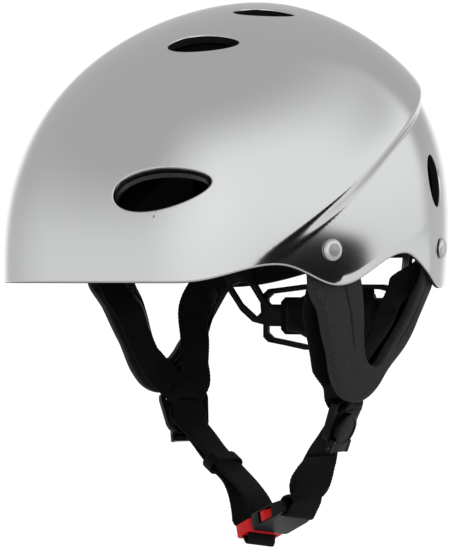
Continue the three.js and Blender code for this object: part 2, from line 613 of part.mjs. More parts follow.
const bandHalf = 7;
const channel = arcPlate(rectangle(-60, 60, middle - bandHalf - 0.4, middle + bandHalf + 0.4), -1.4, 1.4);
const axleHole = (radius, r0, r1) => placed(rod(radius, r0, r1),
  frame(V(0, CRADLE.centreY + CRADLE.radius, middle), V(1, 0, 0), V(0, 0, -1), V(0, 1, 0)));
const housingHalf = CRADLE.housingHalf;
const housingOutline = symmetric([[housingHalf - 3, middle + 11.5], [housingHalf, middle + 8.5],
  [housingHalf, middle - 8.5], [housingHalf - 3, middle - 11.5]]);
add('dial_housing', cut(arcPlate(housingOutline, -3.6, 4.6), channel, axleHole(2.2, 0, 12)),
  MATERIAL.plastic);
add('dial_cover', cut(arcPlate(symmetric([[17, middle + 18], [19, middle + 16], [19, middle - 19],
  [17, middle - 21]]), 5, 7), axleHole(2.2, 0, 12)), MATERIAL.plastic);

// the bands end in racks above and below the pinion, and in a loop and a slotted plate outside
const rackHeight = 3.3;
const bandOutline = (up) => outline2([
  [-22, middle + up * bandHalf], [-22, middle + up * (bandHalf - rackHeight)],
  [44, middle + up * (bandHalf - rackHeight)], [44, middle - up * bandHalf],
  ...(up > 0
    ? [[56, middle - 6.6], [66, middle - 4], [73, middle + 3], [80, middle + 15.5], [83, middle + 26],
      [88, middle + 41], [88, middle + 56], [71, middle + 56], [68, middle + 34], [64, middle + 21],
      [59, middle + 12], [54.6, middle + bandHalf]]
    : [[54.6, middle + bandHalf], [59, middle + 12], [64, middle + 21], [68, middle + 34], [71, middle + 56],
      [88, middle + 56], [88, middle + 41], [83, middle + 26], [80, middle + 15.5], [73, middle + 3],
      [66, middle - 4], [56, middle - 6.6]]),
]);
const loopHole = outline2([[77.5, middle + 18.5], [73.5, middle + 20.5], [68.5, middle + 20],
  [61.5, middle + 8], [61, middle + 2], [63.5, middle - 0.5], [71.5, middle + 7.5]]);
const slotHole = rectangle(HANGER.across - HANGER.post - 0.5,
  HANGER.across + HANGER.post + CRADLE.travel + 0.6,
  HANGER.z - HANGER.post - 0.6, HANGER.z + HANGER.post + 0.6);
add('band_left', arcPlate(bandOutline(1), -1, 1, [loopHole, slotHole]), MATERIAL.plastic);
add('band_right', mirrored(arcPlate(bandOutline(-1), -1, 1, [loopHole, slotHole])), MATERIAL.plastic);

// hangers: a plate under each rear rivet's washer, and a post that the band's slot slides on
const postAngle = Math.asin(HANGER.across / CRADLE.radius);
const postFrame = frame(V(0, CRADLE.centreY, HANGER.z), V(Math.cos(postAngle), -Math.sin(postAngle), 0),
  V(0, 0, -1), V(Math.sin(postAngle), Math.cos(postAngle), 0));
const hangerPlate = placed(block(-5.5, 10.5, -5.5, 12.5, -DEPTH.hanger - 1.6, -DEPTH.hanger),
  rivetFrame(RIVET_REAR));
const post = placed(rod(HANGER.post, CRADLE.radius - 2.4, CRADLE.radius + 11), postFrame);
const flange = placed(rod(HANGER.flange, CRADLE.radius - 3.4, CRADLE.radius - 2.3), postFrame);
const [hangerLeft, hangerRight] = both(cut(join(hangerPlate, post, flange), rearHole));
add('hanger_left', hangerLeft, MATERIAL.plastic);
add('hanger_right', hangerRight, MATERIAL.plastic);

const onAxle = (solid) => placed(solid,
  frame(V(0, CRADLE.centreY + CRADLE.radius, middle), V(1, 0, 0), V(0, 0, -1), V(0, 1, 0)));
const pinionProfile = [[0, -1.1], [DIAL.pinion, -1.1], [DIAL.pinion, 1.1], [1.8, 1.1], [1.8, 10], [0, 10]];
add('pinion', onAxle(turned(pinionProfile, 12)), MATERIAL.plastic);
const grips = 12;
const knobOutline = Array.from({ length: grips * 4 }, (_, k) => {
  const a = 2 * Math.PI * k / (grips * 4);
  const r = DIAL.knob - (k % 4 < 2 ? 0 : 0.9);
  return new THREE.Vector2(r * Math.cos(a), r * Math.sin(a));
});
add('dial_knob', onAxle(cut(slab(knobOutline, 7.6, 7.6 + DIAL.knobDepth), rod(2.2, 0, 11), rod(1.6, 10, 18),
  rod(3.4, 13.2, 18))), MATERIAL.plastic);
add('dial_screw', onAxle(turned([[0, 10.4], [1.2, 10.4], [1.2, 13.6], [3, 13.6], [3, 15.2], [0, 15.2]], 12)),
  MATERIAL.steel);

const napeOutline = symmetric([[24, middle + 15], [34, middle + 10.5], [42, middle + 9], [42, middle - 9],
  [34, middle - 10.5], [24, middle - 15]]);
add('nape_pad', arcPlate(napeOutline, -9.5, -4), MATERIAL.fabric);

export default helmet;
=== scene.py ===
# Looks of the whitewater helmet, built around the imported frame.
# Lengths inside the helpers are millimetres; everything becomes metres when a mesh is made.
import math

import bmesh
import bpy
import numpy as np
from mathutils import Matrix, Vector


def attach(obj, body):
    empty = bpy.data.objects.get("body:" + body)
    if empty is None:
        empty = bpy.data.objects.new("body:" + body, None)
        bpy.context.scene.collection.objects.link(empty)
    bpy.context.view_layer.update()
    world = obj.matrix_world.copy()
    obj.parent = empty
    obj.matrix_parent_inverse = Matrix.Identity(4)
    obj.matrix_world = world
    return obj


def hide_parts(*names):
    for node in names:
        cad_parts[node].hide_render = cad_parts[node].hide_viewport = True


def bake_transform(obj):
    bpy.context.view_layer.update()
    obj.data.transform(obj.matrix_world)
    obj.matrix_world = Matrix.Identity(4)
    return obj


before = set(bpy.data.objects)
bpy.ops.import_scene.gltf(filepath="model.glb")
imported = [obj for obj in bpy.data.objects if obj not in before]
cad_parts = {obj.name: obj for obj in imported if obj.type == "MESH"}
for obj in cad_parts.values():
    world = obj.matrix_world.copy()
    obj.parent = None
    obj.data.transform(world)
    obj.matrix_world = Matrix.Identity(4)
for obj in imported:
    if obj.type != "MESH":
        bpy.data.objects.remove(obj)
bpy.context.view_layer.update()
scene = bpy.context.scene
scene.view_settings.view_transform = "Standard"
scene.view_settings.look = "None"
scene.view_settings.exposure = 0.0
scene.view_settings.gamma = 1.0

MM = 0.001

# ---------- camera ----------
AZIMUTH = math.radians(49)
DISTANCE = 1600
EYE = 4
SENSOR, LENS = 36, 178.7
camera_data = bpy.data.cameras.new("camera")
camera_data.sensor_width = SENSOR
camera_data.lens = LENS
camera_data.clip_start = 0.05
camera_data.clip_end = 30
camera = bpy.data.objects.new("camera", camera_data)
scene.collection.objects.link(camera)
back = Vector((math.sin(AZIMUTH), -math.cos(AZIMUTH), 0))
camera.location = (back * DISTANCE + Vector((0, 0, EYE))) * MM
camera.rotation_euler = (-back).to_track_quat("-Z", "Y").to_euler()
scene.camera = camera


# ---------- small maths ----------
def ease(x, a, b):
    t = np.clip((x - a) / (b - a), 0, 1)
    return t * t * (3 - 2 * t)


def unit(v):
    return v / np.maximum(np.linalg.norm(v, axis=-1, keepdims=True), 1e-9)


def spline(points, per=40):
    """A centripetal spline with the same number of samples on each stretch."""
    p = np.array(points, float)
    p = np.vstack([2 * p[0] - p[1], p, 2 * p[-1] - p[-2]])
    fine = []
    for i in range(1, len(p) - 2):
        p0, p1, p2, p3 = p[i - 1:i + 3]
        d0 = max(np.linalg.norm(p1 - p0) ** 0.5, 1e-4)
        d1 = max(np.linalg.norm(p2 - p1) ** 0.5, 1e-4)
        d2 = max(np.linalg.norm(p3 - p2) ** 0.5, 1e-4)
        m1 = ((p1 - p0) / d0 - (p2 - p0) / (d0 + d1) + (p2 - p1) / d1) * d1
        m2 = ((p2 - p1) / d1 - (p3 - p1) / (d1 + d2) + (p3 - p2) / d2) * d1
        t = np.linspace(0, 1, per, endpoint=False)[:, None]
        fine.append((2 * t**3 - 3 * t**2 + 1) * p1 + (t**3 - 2 * t**2 + t) * m1
                    + (3 * t**2 - 2 * t**3) * p2 + (t**3 - t**2) * m2)
    return np.vstack([*fine, p[-2][None]])


def ellipse(centre, radii, count):
    """Points round an ellipse, from the end of its first axis."""
    turns = np.linspace(0, 2 * np.pi, count, endpoint=False)
    return [(centre[0] + radii[0] * math.cos(a), centre[1] + radii[1] * math.sin(a)) for a in turns]


def lengths_along(line):
    return np.concatenate([[0], np.cumsum(np.linalg.norm(np.diff(line, axis=0), axis=1))])


def resampled(fine, count):
    along = lengths_along(fine)
    at = np.linspace(0, along[-1], count + 1)
    return np.stack([np.interp(at, along, fine[:, k]) for k in range(fine.shape[1])], axis=1)


def tangents(line):
    return unit(np.gradient(line, axis=0))


def flip_x(side):
    """Signs that take a point on the wearer's left to the given side."""
    return np.array([side, 1, 1])


# ---------- the shell's surface ----------
SIDE, FRONT, REAR, CENTRE_Y, HEIGHT = 109.6, 169, 108, 28.3, 165.5
PLAN_POWER, FRONT_POWER, REAR_POWER, ROUNDNESS = 2.116, 2.49, 3.28, 0.57
CREASE_TOP, CREASE_START, CREASE_SPREAD = 121, 39, 122
CREASE_DROP, STEP_BELOW, STEP_ABOVE = 4.5, -5, 6
SWELL_ABOVE, SWELL_BELOW, FADE_ABOVE, FADE_BELOW = 5.2, 0.6, 30, 22
TUCK_FRONT, TUCK_SIDE, TUCK_LEVEL = 0.004, 0.022, 70
LIP_SLOPE, LIP_START, LIP_DEPTH = 0.83, 68, 0.15
WALL = 3.0
RIM_TURNS = [[30, 0], [52, 9.6], [70.5, -1.7], [97, 16.5], [121, -3.2], [175, 15]]


def rim_height(deg):
    t = np.abs(np.asarray(deg, float))
    out = np.full(t.shape, float(RIM_TURNS[0][1]))
    for (a, za), (b, zb) in zip(RIM_TURNS, RIM_TURNS[1:]):
        s = np.clip((t - a) / (b - a), 0, 1)
        out = np.where(t >= a, za + (zb - za) * (1 - np.cos(np.pi * s)) / 2, out)
    return out


def crease_height(deg):
    share = (np.abs(deg) - CREASE_START) / CREASE_SPREAD
    return CREASE_TOP * np.sin(np.pi / 2 * np.clip(share, -0.2, 1))


def lip(deg, z):
    """How far the shell is pulled in over the ear, below a line that climbs toward the rear."""
    edge = LIP_SLOPE * (np.abs(deg) - LIP_START)
    share = ease(np.abs(deg), 66, 72) * (1 - ease(np.abs(deg), 98, 112))
    return LIP_DEPTH * share * np.maximum(0, edge - np.maximum(z, rim_height(deg)))


def surface(deg, z):
    """The outer face, by degrees from the brow (left positive) and height."""
    deg, z = np.broadcast_arrays(np.asarray(deg, float), np.asarray(z, float))
    c, s = np.cos(np.radians(deg)), np.sin(np.radians(deg))
    half = np.where(c > 0, FRONT, REAR)
    plan = ((np.abs(s) / SIDE) ** PLAN_POWER + (np.abs(c) / half) ** PLAN_POWER) ** (-1 / PLAN_POWER)
    power = FRONT_POWER + (REAR_POWER - FRONT_POWER) * (1 - c) / 2
    width = (1 - np.clip(z / HEIGHT, 0, 1) ** power) ** ROUNDNESS
    away = z - crease_height(deg) + CREASE_DROP * (1 - ease(np.abs(deg), 70, 100))
    step = ease(away, STEP_BELOW, STEP_ABOVE)
    above = SWELL_ABOVE * np.exp(-(np.maximum(away, 0) / FADE_ABOVE) ** 2) * step
    below = SWELL_BELOW * np.exp(-(np.minimum(away, 0) / FADE_BELOW) ** 2) * (1 - step)
    swell = ease(np.abs(deg), 38, 100) * ease(width, 0, 0.35) * (above - below)
    tuck = TUCK_FRONT + TUCK_SIDE * ease(np.abs(deg), 40, 120)
    low = np.clip(1 - z / TUCK_LEVEL, 0, 1.3)
    r = plan * width * (1 - tuck * low ** 2) + swell - lip(deg, z)
    return np.stack([r * s, CENTRE_Y - r * c, z + 0 * r], axis=-1)


def normal_at(deg, z):
    """The outward normal, from neighbouring points of the outer face."""
    deg, z = np.broadcast_arrays(np.asarray(deg, float), np.asarray(z, float))
    dz = np.clip((HEIGHT - z) / 3, 0.002, 0.5)
    along = surface(deg + 0.25, z) - surface(deg - 0.25, z)
    up = surface(deg, z + dz) - surface(deg, z - dz)
    n = unit(np.cross(along, up))
    return np.where((z > HEIGHT - 0.05)[..., None], np.array([0.0, 0, 1]), n)


def inside(deg, z, depth):
    """The point a depth in from the outer face, square to it."""
    return surface(deg, z) - normal_at(deg, z) * np.asarray(depth, float)[..., None]


def level_at(deg, v):
    """Heights of the shell's rows: v runs from 0 at the rim to 1 at the top."""
    return HEIGHT * np.sin(np.pi * v / 2) ** 0.8 + rim_height(deg) * np.maximum(0, 1 - v / 0.6) ** 3


EAR_LEAN, EAR_RIM = 0.19, -3


def side_point(y, z, depth):
    """A point on or below the shell's left side wall: y along the head, z up, depth in."""
    y, z, depth = np.broadcast_arrays(*(np.asarray(a, float) for a in (y, z, depth)))
    level = np.maximum(z, EAR_RIM)
    # halving finds the degrees at which the wall is y along
    lower, upper = np.full(y.shape, 20.0), np.full(y.shape, 165.0)
    for _ in range(26):
        middle = (lower + upper) / 2
        less = surface(middle, level)[..., 1] < y
        lower, upper = np.where(less, middle, lower), np.where(less, upper, middle)
    n = normal_at(lower, level)
    n = unit(n * np.array([1, 1, 0]))
    p = surface(lower, level) - n * (depth + EAR_LEAN * (level - z))[..., None]
    return np.stack([p[..., 0], p[..., 1], z], axis=-1)


# ---------- meshes ----------
def plain_mesh(name, verts, faces):
    mesh = bpy.data.meshes.new(name)
    mesh.from_pydata((np.asarray(verts, float) * MM).tolist(), [], [list(map(int, f)) for f in faces])
    return mesh


def make(name, verts, faces, material, body=None, replaces=(), slot=None, smooth_shade=True, uv=None,
         normals=None, sharp=None):
    """An object from millimetres; its shading breaks at edges over the sharp angle."""
    mesh = plain_mesh(name, verts, faces)
    if uv is not None:
        layer = mesh.uv_layers.new(name="along")
        index = np.empty(len(mesh.loops), int)
        mesh.loops.foreach_get("vertex_index", index)
        layer.data.foreach_set("uv", (np.asarray(uv, float)[index] * MM).ravel().astype(np.float32))
    mesh.validate()
    mesh.update()
    if smooth_shade:
        mesh.shade_smooth()
        if sharp is not None:
            mesh.set_sharp_from_angle(angle=math.radians(sharp))
    if normals is not None:
        mesh.normals_split_custom_set_from_vertices(np.asarray(normals, float).tolist())
    obj = bpy.data.objects.new(name, mesh)
    scene.collection.objects.link(obj)
    if material is not None:
        mesh.materials.append(material)
    if body:
        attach(obj, body)
    if replaces:
        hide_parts(*replaces)
    return obj


def sweep(rings, closed=False):
    """Rings of points, shape (n, m, 3), joined into a solid tube; open ends are capped."""
    n, m = rings.shape[:2]
    verts = rings.reshape(-1, 3)
    faces = []
    last = n if closed else n - 1
    for i in range(last):
        a, b = i * m, ((i + 1) % n) * m
        faces += [[a + j, b + j, b + (j + 1) % m, a + (j + 1) % m] for j in range(m)]
    if not closed:
        faces += [list(range(m)), list(range((n - 1) * m, n * m))[::-1]]
    return verts, outward(verts, faces)


def outward(verts, faces):
    """Faces turned so that the solid's volume is positive."""
    verts = np.asarray(verts, float)
    total = 0.0
    for f in faces:
        a = verts[f[0]]
        for i in range(1, len(f) - 1):
            total += np.dot(a, np.cross(verts[f[i]], verts[f[i + 1]]))
    return faces if total > 0 else [f[::-1] for f in faces]


def mirror(verts, faces):
    return np.asarray(verts, float) * np.array([-1, 1, 1]), [f[::-1] for f in faces]


# ---------- materials ----------
# lengths in metres here, as the node tree needs them
GRAIN_HEIGHT, FLAKE_HEIGHT, WEAVE_HEIGHT = 0.0004, 0.0001, 0.00025
RIB_PITCH, WEFT_PITCH = 0.0011, 0.0009
COARSE_SHARE = 0.3


class Nodes:
    """Short names for the shader nodes of one node tree."""

    def __init__(self, tree):
        self.tree = tree

    def new(self, kind):
        return self.tree.nodes.new("ShaderNode" + kind)

    def feed(self, socket, value):
        """Gives a socket a number, or a link from another node."""
        if isinstance(value, bpy.types.NodeSocket):
            self.tree.links.new(value, socket)
        else:
            socket.default_value = value

    def op(self, kind, *values):
        node = self.new("Math")
        node.operation = kind
        for socket, value in zip(node.inputs, values):
            self.feed(socket, value)
        return node.outputs[0]

    def chain(self, kind, first, *rest):
        for value in rest:
            first = self.op(kind, first, value)
        return first

    def ranged(self, value, low, high, out_low, out_high, kind="LINEAR"):
        node = self.new("MapRange")
        node.interpolation_type = kind
        keys = ("Value", "From Min", "From Max", "To Min", "To Max")
        for key, given in zip(keys, (value, low, high, out_low, out_high)):
            self.feed(node.inputs[key], given)
        return node.outputs["Result"]

    def soft(self, value, low, high, out_low=0.0, out_high=1.0):
        return self.ranged(value, low, high, out_low, out_high, "SMOOTHSTEP")

    def split(self, vector):
        node = self.new("SeparateXYZ")
        self.feed(node.inputs[0], vector)
        return node.outputs

    def length(self, x, y):
        return self.op("SQRT", self.op("ADD", self.op("MULTIPLY", x, x), self.op("MULTIPLY", y, y)))

    def toward(self, direction, azimuth):
        """How far a direction's level part agrees with an azimuth: 1 along it, -1 opposite."""
        x, y, _ = self.split(direction)
        a = math.radians(azimuth)
        along = self.op("ADD", self.op("MULTIPLY", x, math.sin(a)), self.op("MULTIPLY", y, -math.cos(a)))
        return self.op("DIVIDE", along, self.op("MAXIMUM", self.length(x, y), 1e-4))

    def noise(self, coords, scale, detail):
        node = self.new("TexNoise")
        node.inputs["Scale"].default_value = scale
        node.inputs["Detail"].default_value = detail
        self.feed(node.inputs["Vector"], coords)
        return node.outputs["Fac"]

    def tint(self, shader, base, factor):
        """A base colour times a factor."""
        node = self.new("VectorMath")
        node.operation = "SCALE"
        node.inputs[0].default_value = base
        self.feed(node.inputs["Scale"], factor)
        self.feed(shader.inputs["Base Color"], node.outputs["Vector"])

    def bump(self, shader, relief, strength, height):
        node = self.new("Bump")
        node.inputs["Strength"].default_value = strength
        node.inputs["Distance"].default_value = height
        self.feed(node.inputs["Height"], relief)
        self.feed(shader.inputs["Normal"], node.outputs["Normal"])


def new_material(name, base, roughness, metallic=0.0, specular=0.5, sheen=0.0):
    m = bpy.data.materials.new(name)
    m.use_nodes = True
    shader = m.node_tree.nodes["Principled BSDF"]
    shader.inputs["Base Color"].default_value = (*base, 1)
    shader.inputs["Roughness"].default_value = roughness
    shader.inputs["Metallic"].default_value = metallic
    shader.inputs["Specular IOR Level"].default_value = specular
    shader.inputs["Sheen Weight"].default_value = sheen
    return m, Nodes(m.node_tree), shader


def noise_tint(nodes, shader, base, spread, scale):
    """Slightly uneven colour from a noise in object space; gives the coordinates."""
    coords = nodes.new("TexCoord").outputs["Object"]
    noise = nodes.noise(coords, scale, 3.0)
    nodes.tint(shader, base, nodes.ranged(noise, 0, 1, 1 - spread, 1 + spread))
    return coords


def grained(name, base, roughness, grain, strength, spread, coarse=None, height=GRAIN_HEIGHT, **more):
    """A plain material whose colour varies over a coarse noise and whose surface has a fine one."""
    m, nodes, shader = new_material(name, base, roughness, **more)
    coords = noise_tint(nodes, shader, base, spread, coarse or grain * COARSE_SHARE)
    nodes.bump(shader, nodes.noise(coords, grain, 2.0), strength, height)
    return m


def webbing(name, base):
    """Flat-woven nylon: fine ribs along the strap crossed by the weft, from the strap's own lengths, with
    painted shade in the weave's hollows and painted light on its raised threads.
    """
    m, nodes, shader = new_material(name, base, 0.7, sheen=0.02, specular=0.1)
    uv = nodes.new("UVMap")
    uv.uv_map = "along"
    across, along, _ = nodes.split(uv.outputs["UV"])
    ribs = nodes.op("SINE", nodes.op("MULTIPLY", across, 2 * math.pi / RIB_PITCH))
    weft = nodes.op("SINE", nodes.op("MULTIPLY", along, 2 * math.pi / WEFT_PITCH))
    weave_relief_and_painted_shade = nodes.op("MULTIPLY", ribs, weft)
    nodes.bump(shader, weave_relief_and_painted_shade, 0.55, WEAVE_HEIGHT)
    # painted shade and light: the colour darkens in the weave's hollows and lightens on its raised threads
    nodes.tint(shader, base, nodes.ranged(weave_relief_and_painted_shade, -1, 1, 0.7, 1.35))
    return m


SILVER = grained("silver_coat", (0.60, 0.605, 0.61), 0.12, 2600, 0.05, 0.02, 900, FLAKE_HEIGHT, metallic=1.0)
CHROME = grained("polished_steel", (0.62, 0.62, 0.63), 0.3, 500, 0.02, 0.02, metallic=1.0)
FOAM = grained("foam_skin", (0.002, 0.002, 0.0022), 0.42, 900, 0.15, 0.1, specular=0.09)
COVER = grained("guard_skin", (0.024, 0.024, 0.0245), 0.6, 4200, 1.0, 1.25, specular=0.2)
PIN_STEEL = grained("pin_steel", (0.05, 0.05, 0.05), 0.5, 500, 0.02, 0.02, metallic=1.0)
PLASTIC = grained("black_plastic", (0.0025, 0.0025, 0.0028), 0.34, 1400, 0.12, 0.08, specular=0.12)
RED = grained("red_plastic", (0.66, 0.012, 0.015), 0.34, 900, 0.08, 0.05, specular=0.12)
KNIT = grained("brushed_knit", (0.004, 0.004, 0.0042), 0.9, 2200, 0.8, 0.2, sheen=0.05, specular=0.1)
WEB = webbing("nylon_webbing", (0.0035, 0.0035, 0.0037))
BLACK_INSIDE = grained("shell_inside", (0.006, 0.006, 0.0065), 0.85, 800, 0.1, 0.1, specular=0.2)

# ---------- vents ----------
VENTS = [
    dict(angle=26.8, z=51.8, length=54, width=22, narrowing=0.22, rise=10.5),
    dict(angle=27, z=134.9, length=40, width=16, narrowing=0.15, rise=8),
    dict(angle=50, z=156, length=37, width=13, narrowing=0.1, rise=0),
    dict(angle=115.5, z=59, length=30, width=17, narrowing=0.05, rise=-90),
]


def vent_axes(vent):
    """A vent's centre, its long and short axes and its outward normal."""
    centre = surface(vent["angle"], vent["z"])
    n = normal_at(vent["angle"], vent["z"])
    level = unit(np.cross([0, 0, 1], n))
    up = np.cross(n, level)
    a = math.radians(vent["rise"])
    long = level * math.cos(a) + up * math.sin(a)
    return centre, long, np.cross(n, long), n


def egg(vent, a, grow=0.0):
    """The vent's outline in its own plane, narrower toward one end, at angles round it."""
    half = (vent["width"] / 2 + grow) * np.sin(a) * (1 - vent["narrowing"] * np.cos(a))
    return np.stack([(vent["length"] / 2 + grow) * np.cos(a), half], axis=-1)


def on_surface(vent, uw, side):
    """Degrees and height of the shell's points straight behind points of the vent's plane."""
    centre, long, short, _ = vent_axes(vent)
    target_u, target_w = uw[:, 0], uw[:, 1]
    deg = np.full(len(uw), float(vent["angle"]))
    z = np.full(len(uw), float(vent["z"]))
    e = 0.05
    for _ in range(14):
        p = surface(deg, z) - centre
        du, dw = p @ long - target_u, p @ short - target_w
        pa = (surface(deg + e, z) - surface(deg, z)) / e
        pz = (surface(deg, z + e) - surface(deg, z - e)) / (2 * e)
        a, b, c, d = pa @ long, pz @ long, pa @ short, pz @ short
        det = a * d - b * c
        deg = deg - np.clip((d * du - b * dw) / det, -12, 12)
        z = np.clip(z - np.clip((a * dw - c * du) / det, -12, 12), 0, HEIGHT - 0.3)
    return deg * side, z


# ---------- the shell ----------
COLUMNS, ROWS, RIM_STEPS = 640, 150, 8
VENT_MARGIN, OTHER_SIDE = 4.0, -60
ROLL_RADIUS = 1.1
# what follows the rolled edge of a vent: how far out, how deep, and the share of the two normals
LIP_RINGS = [(-0.05, 2.6, 0, 1), (-0.2, 5.0, 0, 1), (0.9, 5.0, -1, 0), (1.1, WALL, 0, -1)]


class Skin:
    """The shell's points, normals and faces, in the order they are laid."""

    def __init__(self):
        self.points, self.normals, self.faces, self.dark = [], [], [], []

    def put(self, points, normals):
        """Adds points and gives their numbers."""
        first = sum(len(x) for x in self.points)
        self.points.append(points)
        self.normals.append(normals)
        return first + np.arange(len(points))

    def face(self, corners, dark=False):
        self.faces.append(corners)
        self.dark.append(dark)

    def strip(self, one, other, dark):
        """Quads between two closed loops of numbers."""
        for corners in zip(one, other, np.roll(other, -1), np.roll(one, -1)):
            self.face(corners, dark)

    def layer(self, deg, z, keep, depth, facing):
        """One face of the wall: the numbers of its kept grid points (-1 elsewhere) and of its top."""
        number = -np.ones(z.shape, int)
        points = inside(deg, z, np.full(z.shape, depth))
        number[keep] = self.put(points[keep], facing * normal_at(deg, z)[keep])
        top = self.put(np.array([[0, CENTRE_Y, HEIGHT - depth]]), np.array([[0, 0, facing]]))
        return number, top[0]


def over_vents(points):
    """Which points lie over a vent or within a margin of its edge."""
    over = np.zeros(points.shape[:-1], bool)
    for vent in VENTS:
        centre, long, short, n = vent_axes(vent)
        for side in (1, -1):
            p = points * flip_x(side) - centre
            u, w, h = p @ long, p @ short, p @ n
            turns = np.arctan2(w / (vent["width"] / 2 + VENT_MARGIN), u / (vent["length"] / 2 + VENT_MARGIN))
            edge = egg(vent, turns, VENT_MARGIN)
            over |= (np.hypot(u, w) < np.hypot(edge[..., 0], edge[..., 1])) & (h > OTHER_SIDE)
    return over


def grid_quads(number):
    """Quads of a grid of numbers that wraps round its first axis, none where a corner is missing."""
    after = np.roll(number, -1, axis=0)
    quads = np.stack([number[:, :-1], after[:, :-1], after[:, 1:], number[:, 1:]], axis=-1).reshape(-1, 4)
    return quads[quads.min(axis=1) >= 0].tolist()


def open_loops(quads, ends):
    """Loops of edges that belong to one quad only, except those along the grid's two ends."""
    edges = dict.fromkeys((a, b) for q in quads for a, b in zip(q, q[1:] + q[:1]))
    after = {a: b for a, b in edges if (b, a) not in edges}
    loops, used = [], set()
    for node in [a for a in after if not (a in ends and after[a] in ends)]:
        loop = []
        while node not in used:
            loop.append(node)
            used.add(node)
            node = after[node]
        if loop:
            loops.append(loop)
    return loops


def nearest_vent(point):
    """The vent and the side of the head closest to a point."""
    places = [(vent, side) for vent in VENTS for side in (1, -1)]
    return min(places, key=lambda place: np.linalg.norm(point - vent_axes(place[0])[0] * flip_x(place[1])))


def add_vent(skin, outer_loop, inner_loop, deg, z):
    """The wall of one vent: a rolled outer edge, the sides, a lip behind and back to the inner face."""
    edge = surface(deg, z)
    vent, side = nearest_vent(edge.mean(0))
    centre, long, short, n = vent_axes(vent)
    p = edge * flip_x(side) - centre
    flat = np.stack([p @ long, p @ short], axis=1)
    turns = np.unwrap(np.arctan2(flat[:, 1] / vent["width"], flat[:, 0] / vent["length"]))
    wall = unit(egg(vent, turns, 1.0) - egg(vent, turns))
    to_centre = -(wall[:, :1] * long + wall[:, 1:] * short) * flip_x(side)
    facing = n * flip_x(side)
    rolled = egg(vent, turns, ROLL_RADIUS)
    rings = [((flat + rolled) / 2, 0.0, None, False), (rolled, 0.0, None, False)]
    for t in np.radians([30, 60, 90]):
        outline = egg(vent, turns, ROLL_RADIUS * (1 - math.sin(t)))
        normals = unit(facing * math.cos(t) + to_centre * math.sin(t))
        rings.append((outline, ROLL_RADIUS * (1 - math.cos(t)), normals, False))
    for grow, depth, out, across in LIP_RINGS:
        rings.append((egg(vent, turns, grow), depth, facing * out + to_centre * across, True))
    last = outer_loop
    for outline, depth, normals, dark in rings:
        at_deg, at_z = on_surface(vent, outline, side)
        points = inside(at_deg, at_z, np.full(len(outline), depth))
        now = skin.put(points, normal_at(at_deg, at_z) if normals is None else normals)
        skin.strip(last, now, dark)
        last = now
    skin.strip(last, inner_loop, True)


def shell_mesh():
    """Outer face, rim, inner face and the vents' rolled walls as one closed mesh."""
    around = -180 + 360 * np.arange(COLUMNS) / COLUMNS
    deg, v = np.meshgrid(around, np.arange(ROWS) / ROWS, indexing="ij")
    z = level_at(deg, v)
    z[:, 0] += WALL / 2
    keep = ~over_vents(surface(deg, z))
    skin = Skin()
    outer, outer_top = skin.layer(deg, z, keep, 0.0, 1.0)
    inner, inner_top = skin.layer(deg, z, keep, WALL, -1.0)
    quads = grid_quads(outer)
    for quad in quads:
        skin.face(quad)
    for quad in grid_quads(inner):
        skin.face(quad[::-1], True)
    for i in range(COLUMNS):
        skin.face([outer[i - 1, -1], outer[i, -1], outer_top])
        skin.face([inner[i, -1], inner[i - 1, -1], inner_top], True)
    # the rim: half a circle from the outer face to the inner one
    last = outer[:, 0]
    facing = normal_at(around, z[:, 0])
    for step in range(1, RIM_STEPS):
        t = np.pi * step / RIM_STEPS
        points = inside(around, z[:, 0], np.full(COLUMNS, WALL / 2 * (1 - math.cos(t))))
        points[:, 2] -= WALL / 2 * math.sin(t)
        now = skin.put(points, unit(facing * math.cos(t) + np.array([0, 0, -1]) * math.sin(t)))
        skin.strip(last, now, step > 2)
        last = now
    skin.strip(last, inner[:, 0], True)
    # the vents' walls; outer numbers follow the order of the kept grid points
    ends = {*outer[:, 0].tolist(), *outer[:, -1].tolist()}
    cells = np.argwhere(keep)
    for loop in open_loops(quads, ends):
        i, j = cells[loop].T
        add_vent(skin, loop, inner[i, j], deg[i, j], z[i, j])
    return np.vstack(skin.points), skin.faces, np.vstack(skin.normals), skin.dark


shell_verts, shell_faces, shell_normals, shell_dark = shell_mesh()
shell = make("shell_skin", shell_verts, shell_faces, SILVER, "helmet_body", ["shell"], "shell",
             normals=shell_normals)
shell.data.materials.append(BLACK_INSIDE)
shell.data.polygons.foreach_set("material_index", np.array(shell_dark, int))


# ---------- shapes shared by several pieces ----------
WEB_PITCH, SELVEDGE_PITCH = 0.5, 1.9
FLAT_JOINT, SHARP_EDGE, SHADE_BREAK = 1.5, 32, 28


def turned(profile, origin, axis, hollow=False, steps=64):
    """A solid turned about an axis; a hollow one has a profile that closes on itself."""
    origin, axis = np.array(origin, float), unit(np.array(axis, float))
    side = unit(np.cross(axis, [0, 0, 1] if abs(axis[2]) < 0.9 else [1, 0, 0]))
    other = np.cross(axis, side)
    a = np.linspace(0, 2 * np.pi, steps, endpoint=False)
    round_axis = np.cos(a)[:, None] * side + np.sin(a)[:, None] * other
    p = np.array(profile, float)
    grid = origin + p[:, 0, None, None] * round_axis[None] + p[:, 1, None, None] * axis
    return sweep(grid.transpose(1, 0, 2), closed=True) if hollow else sweep(grid)


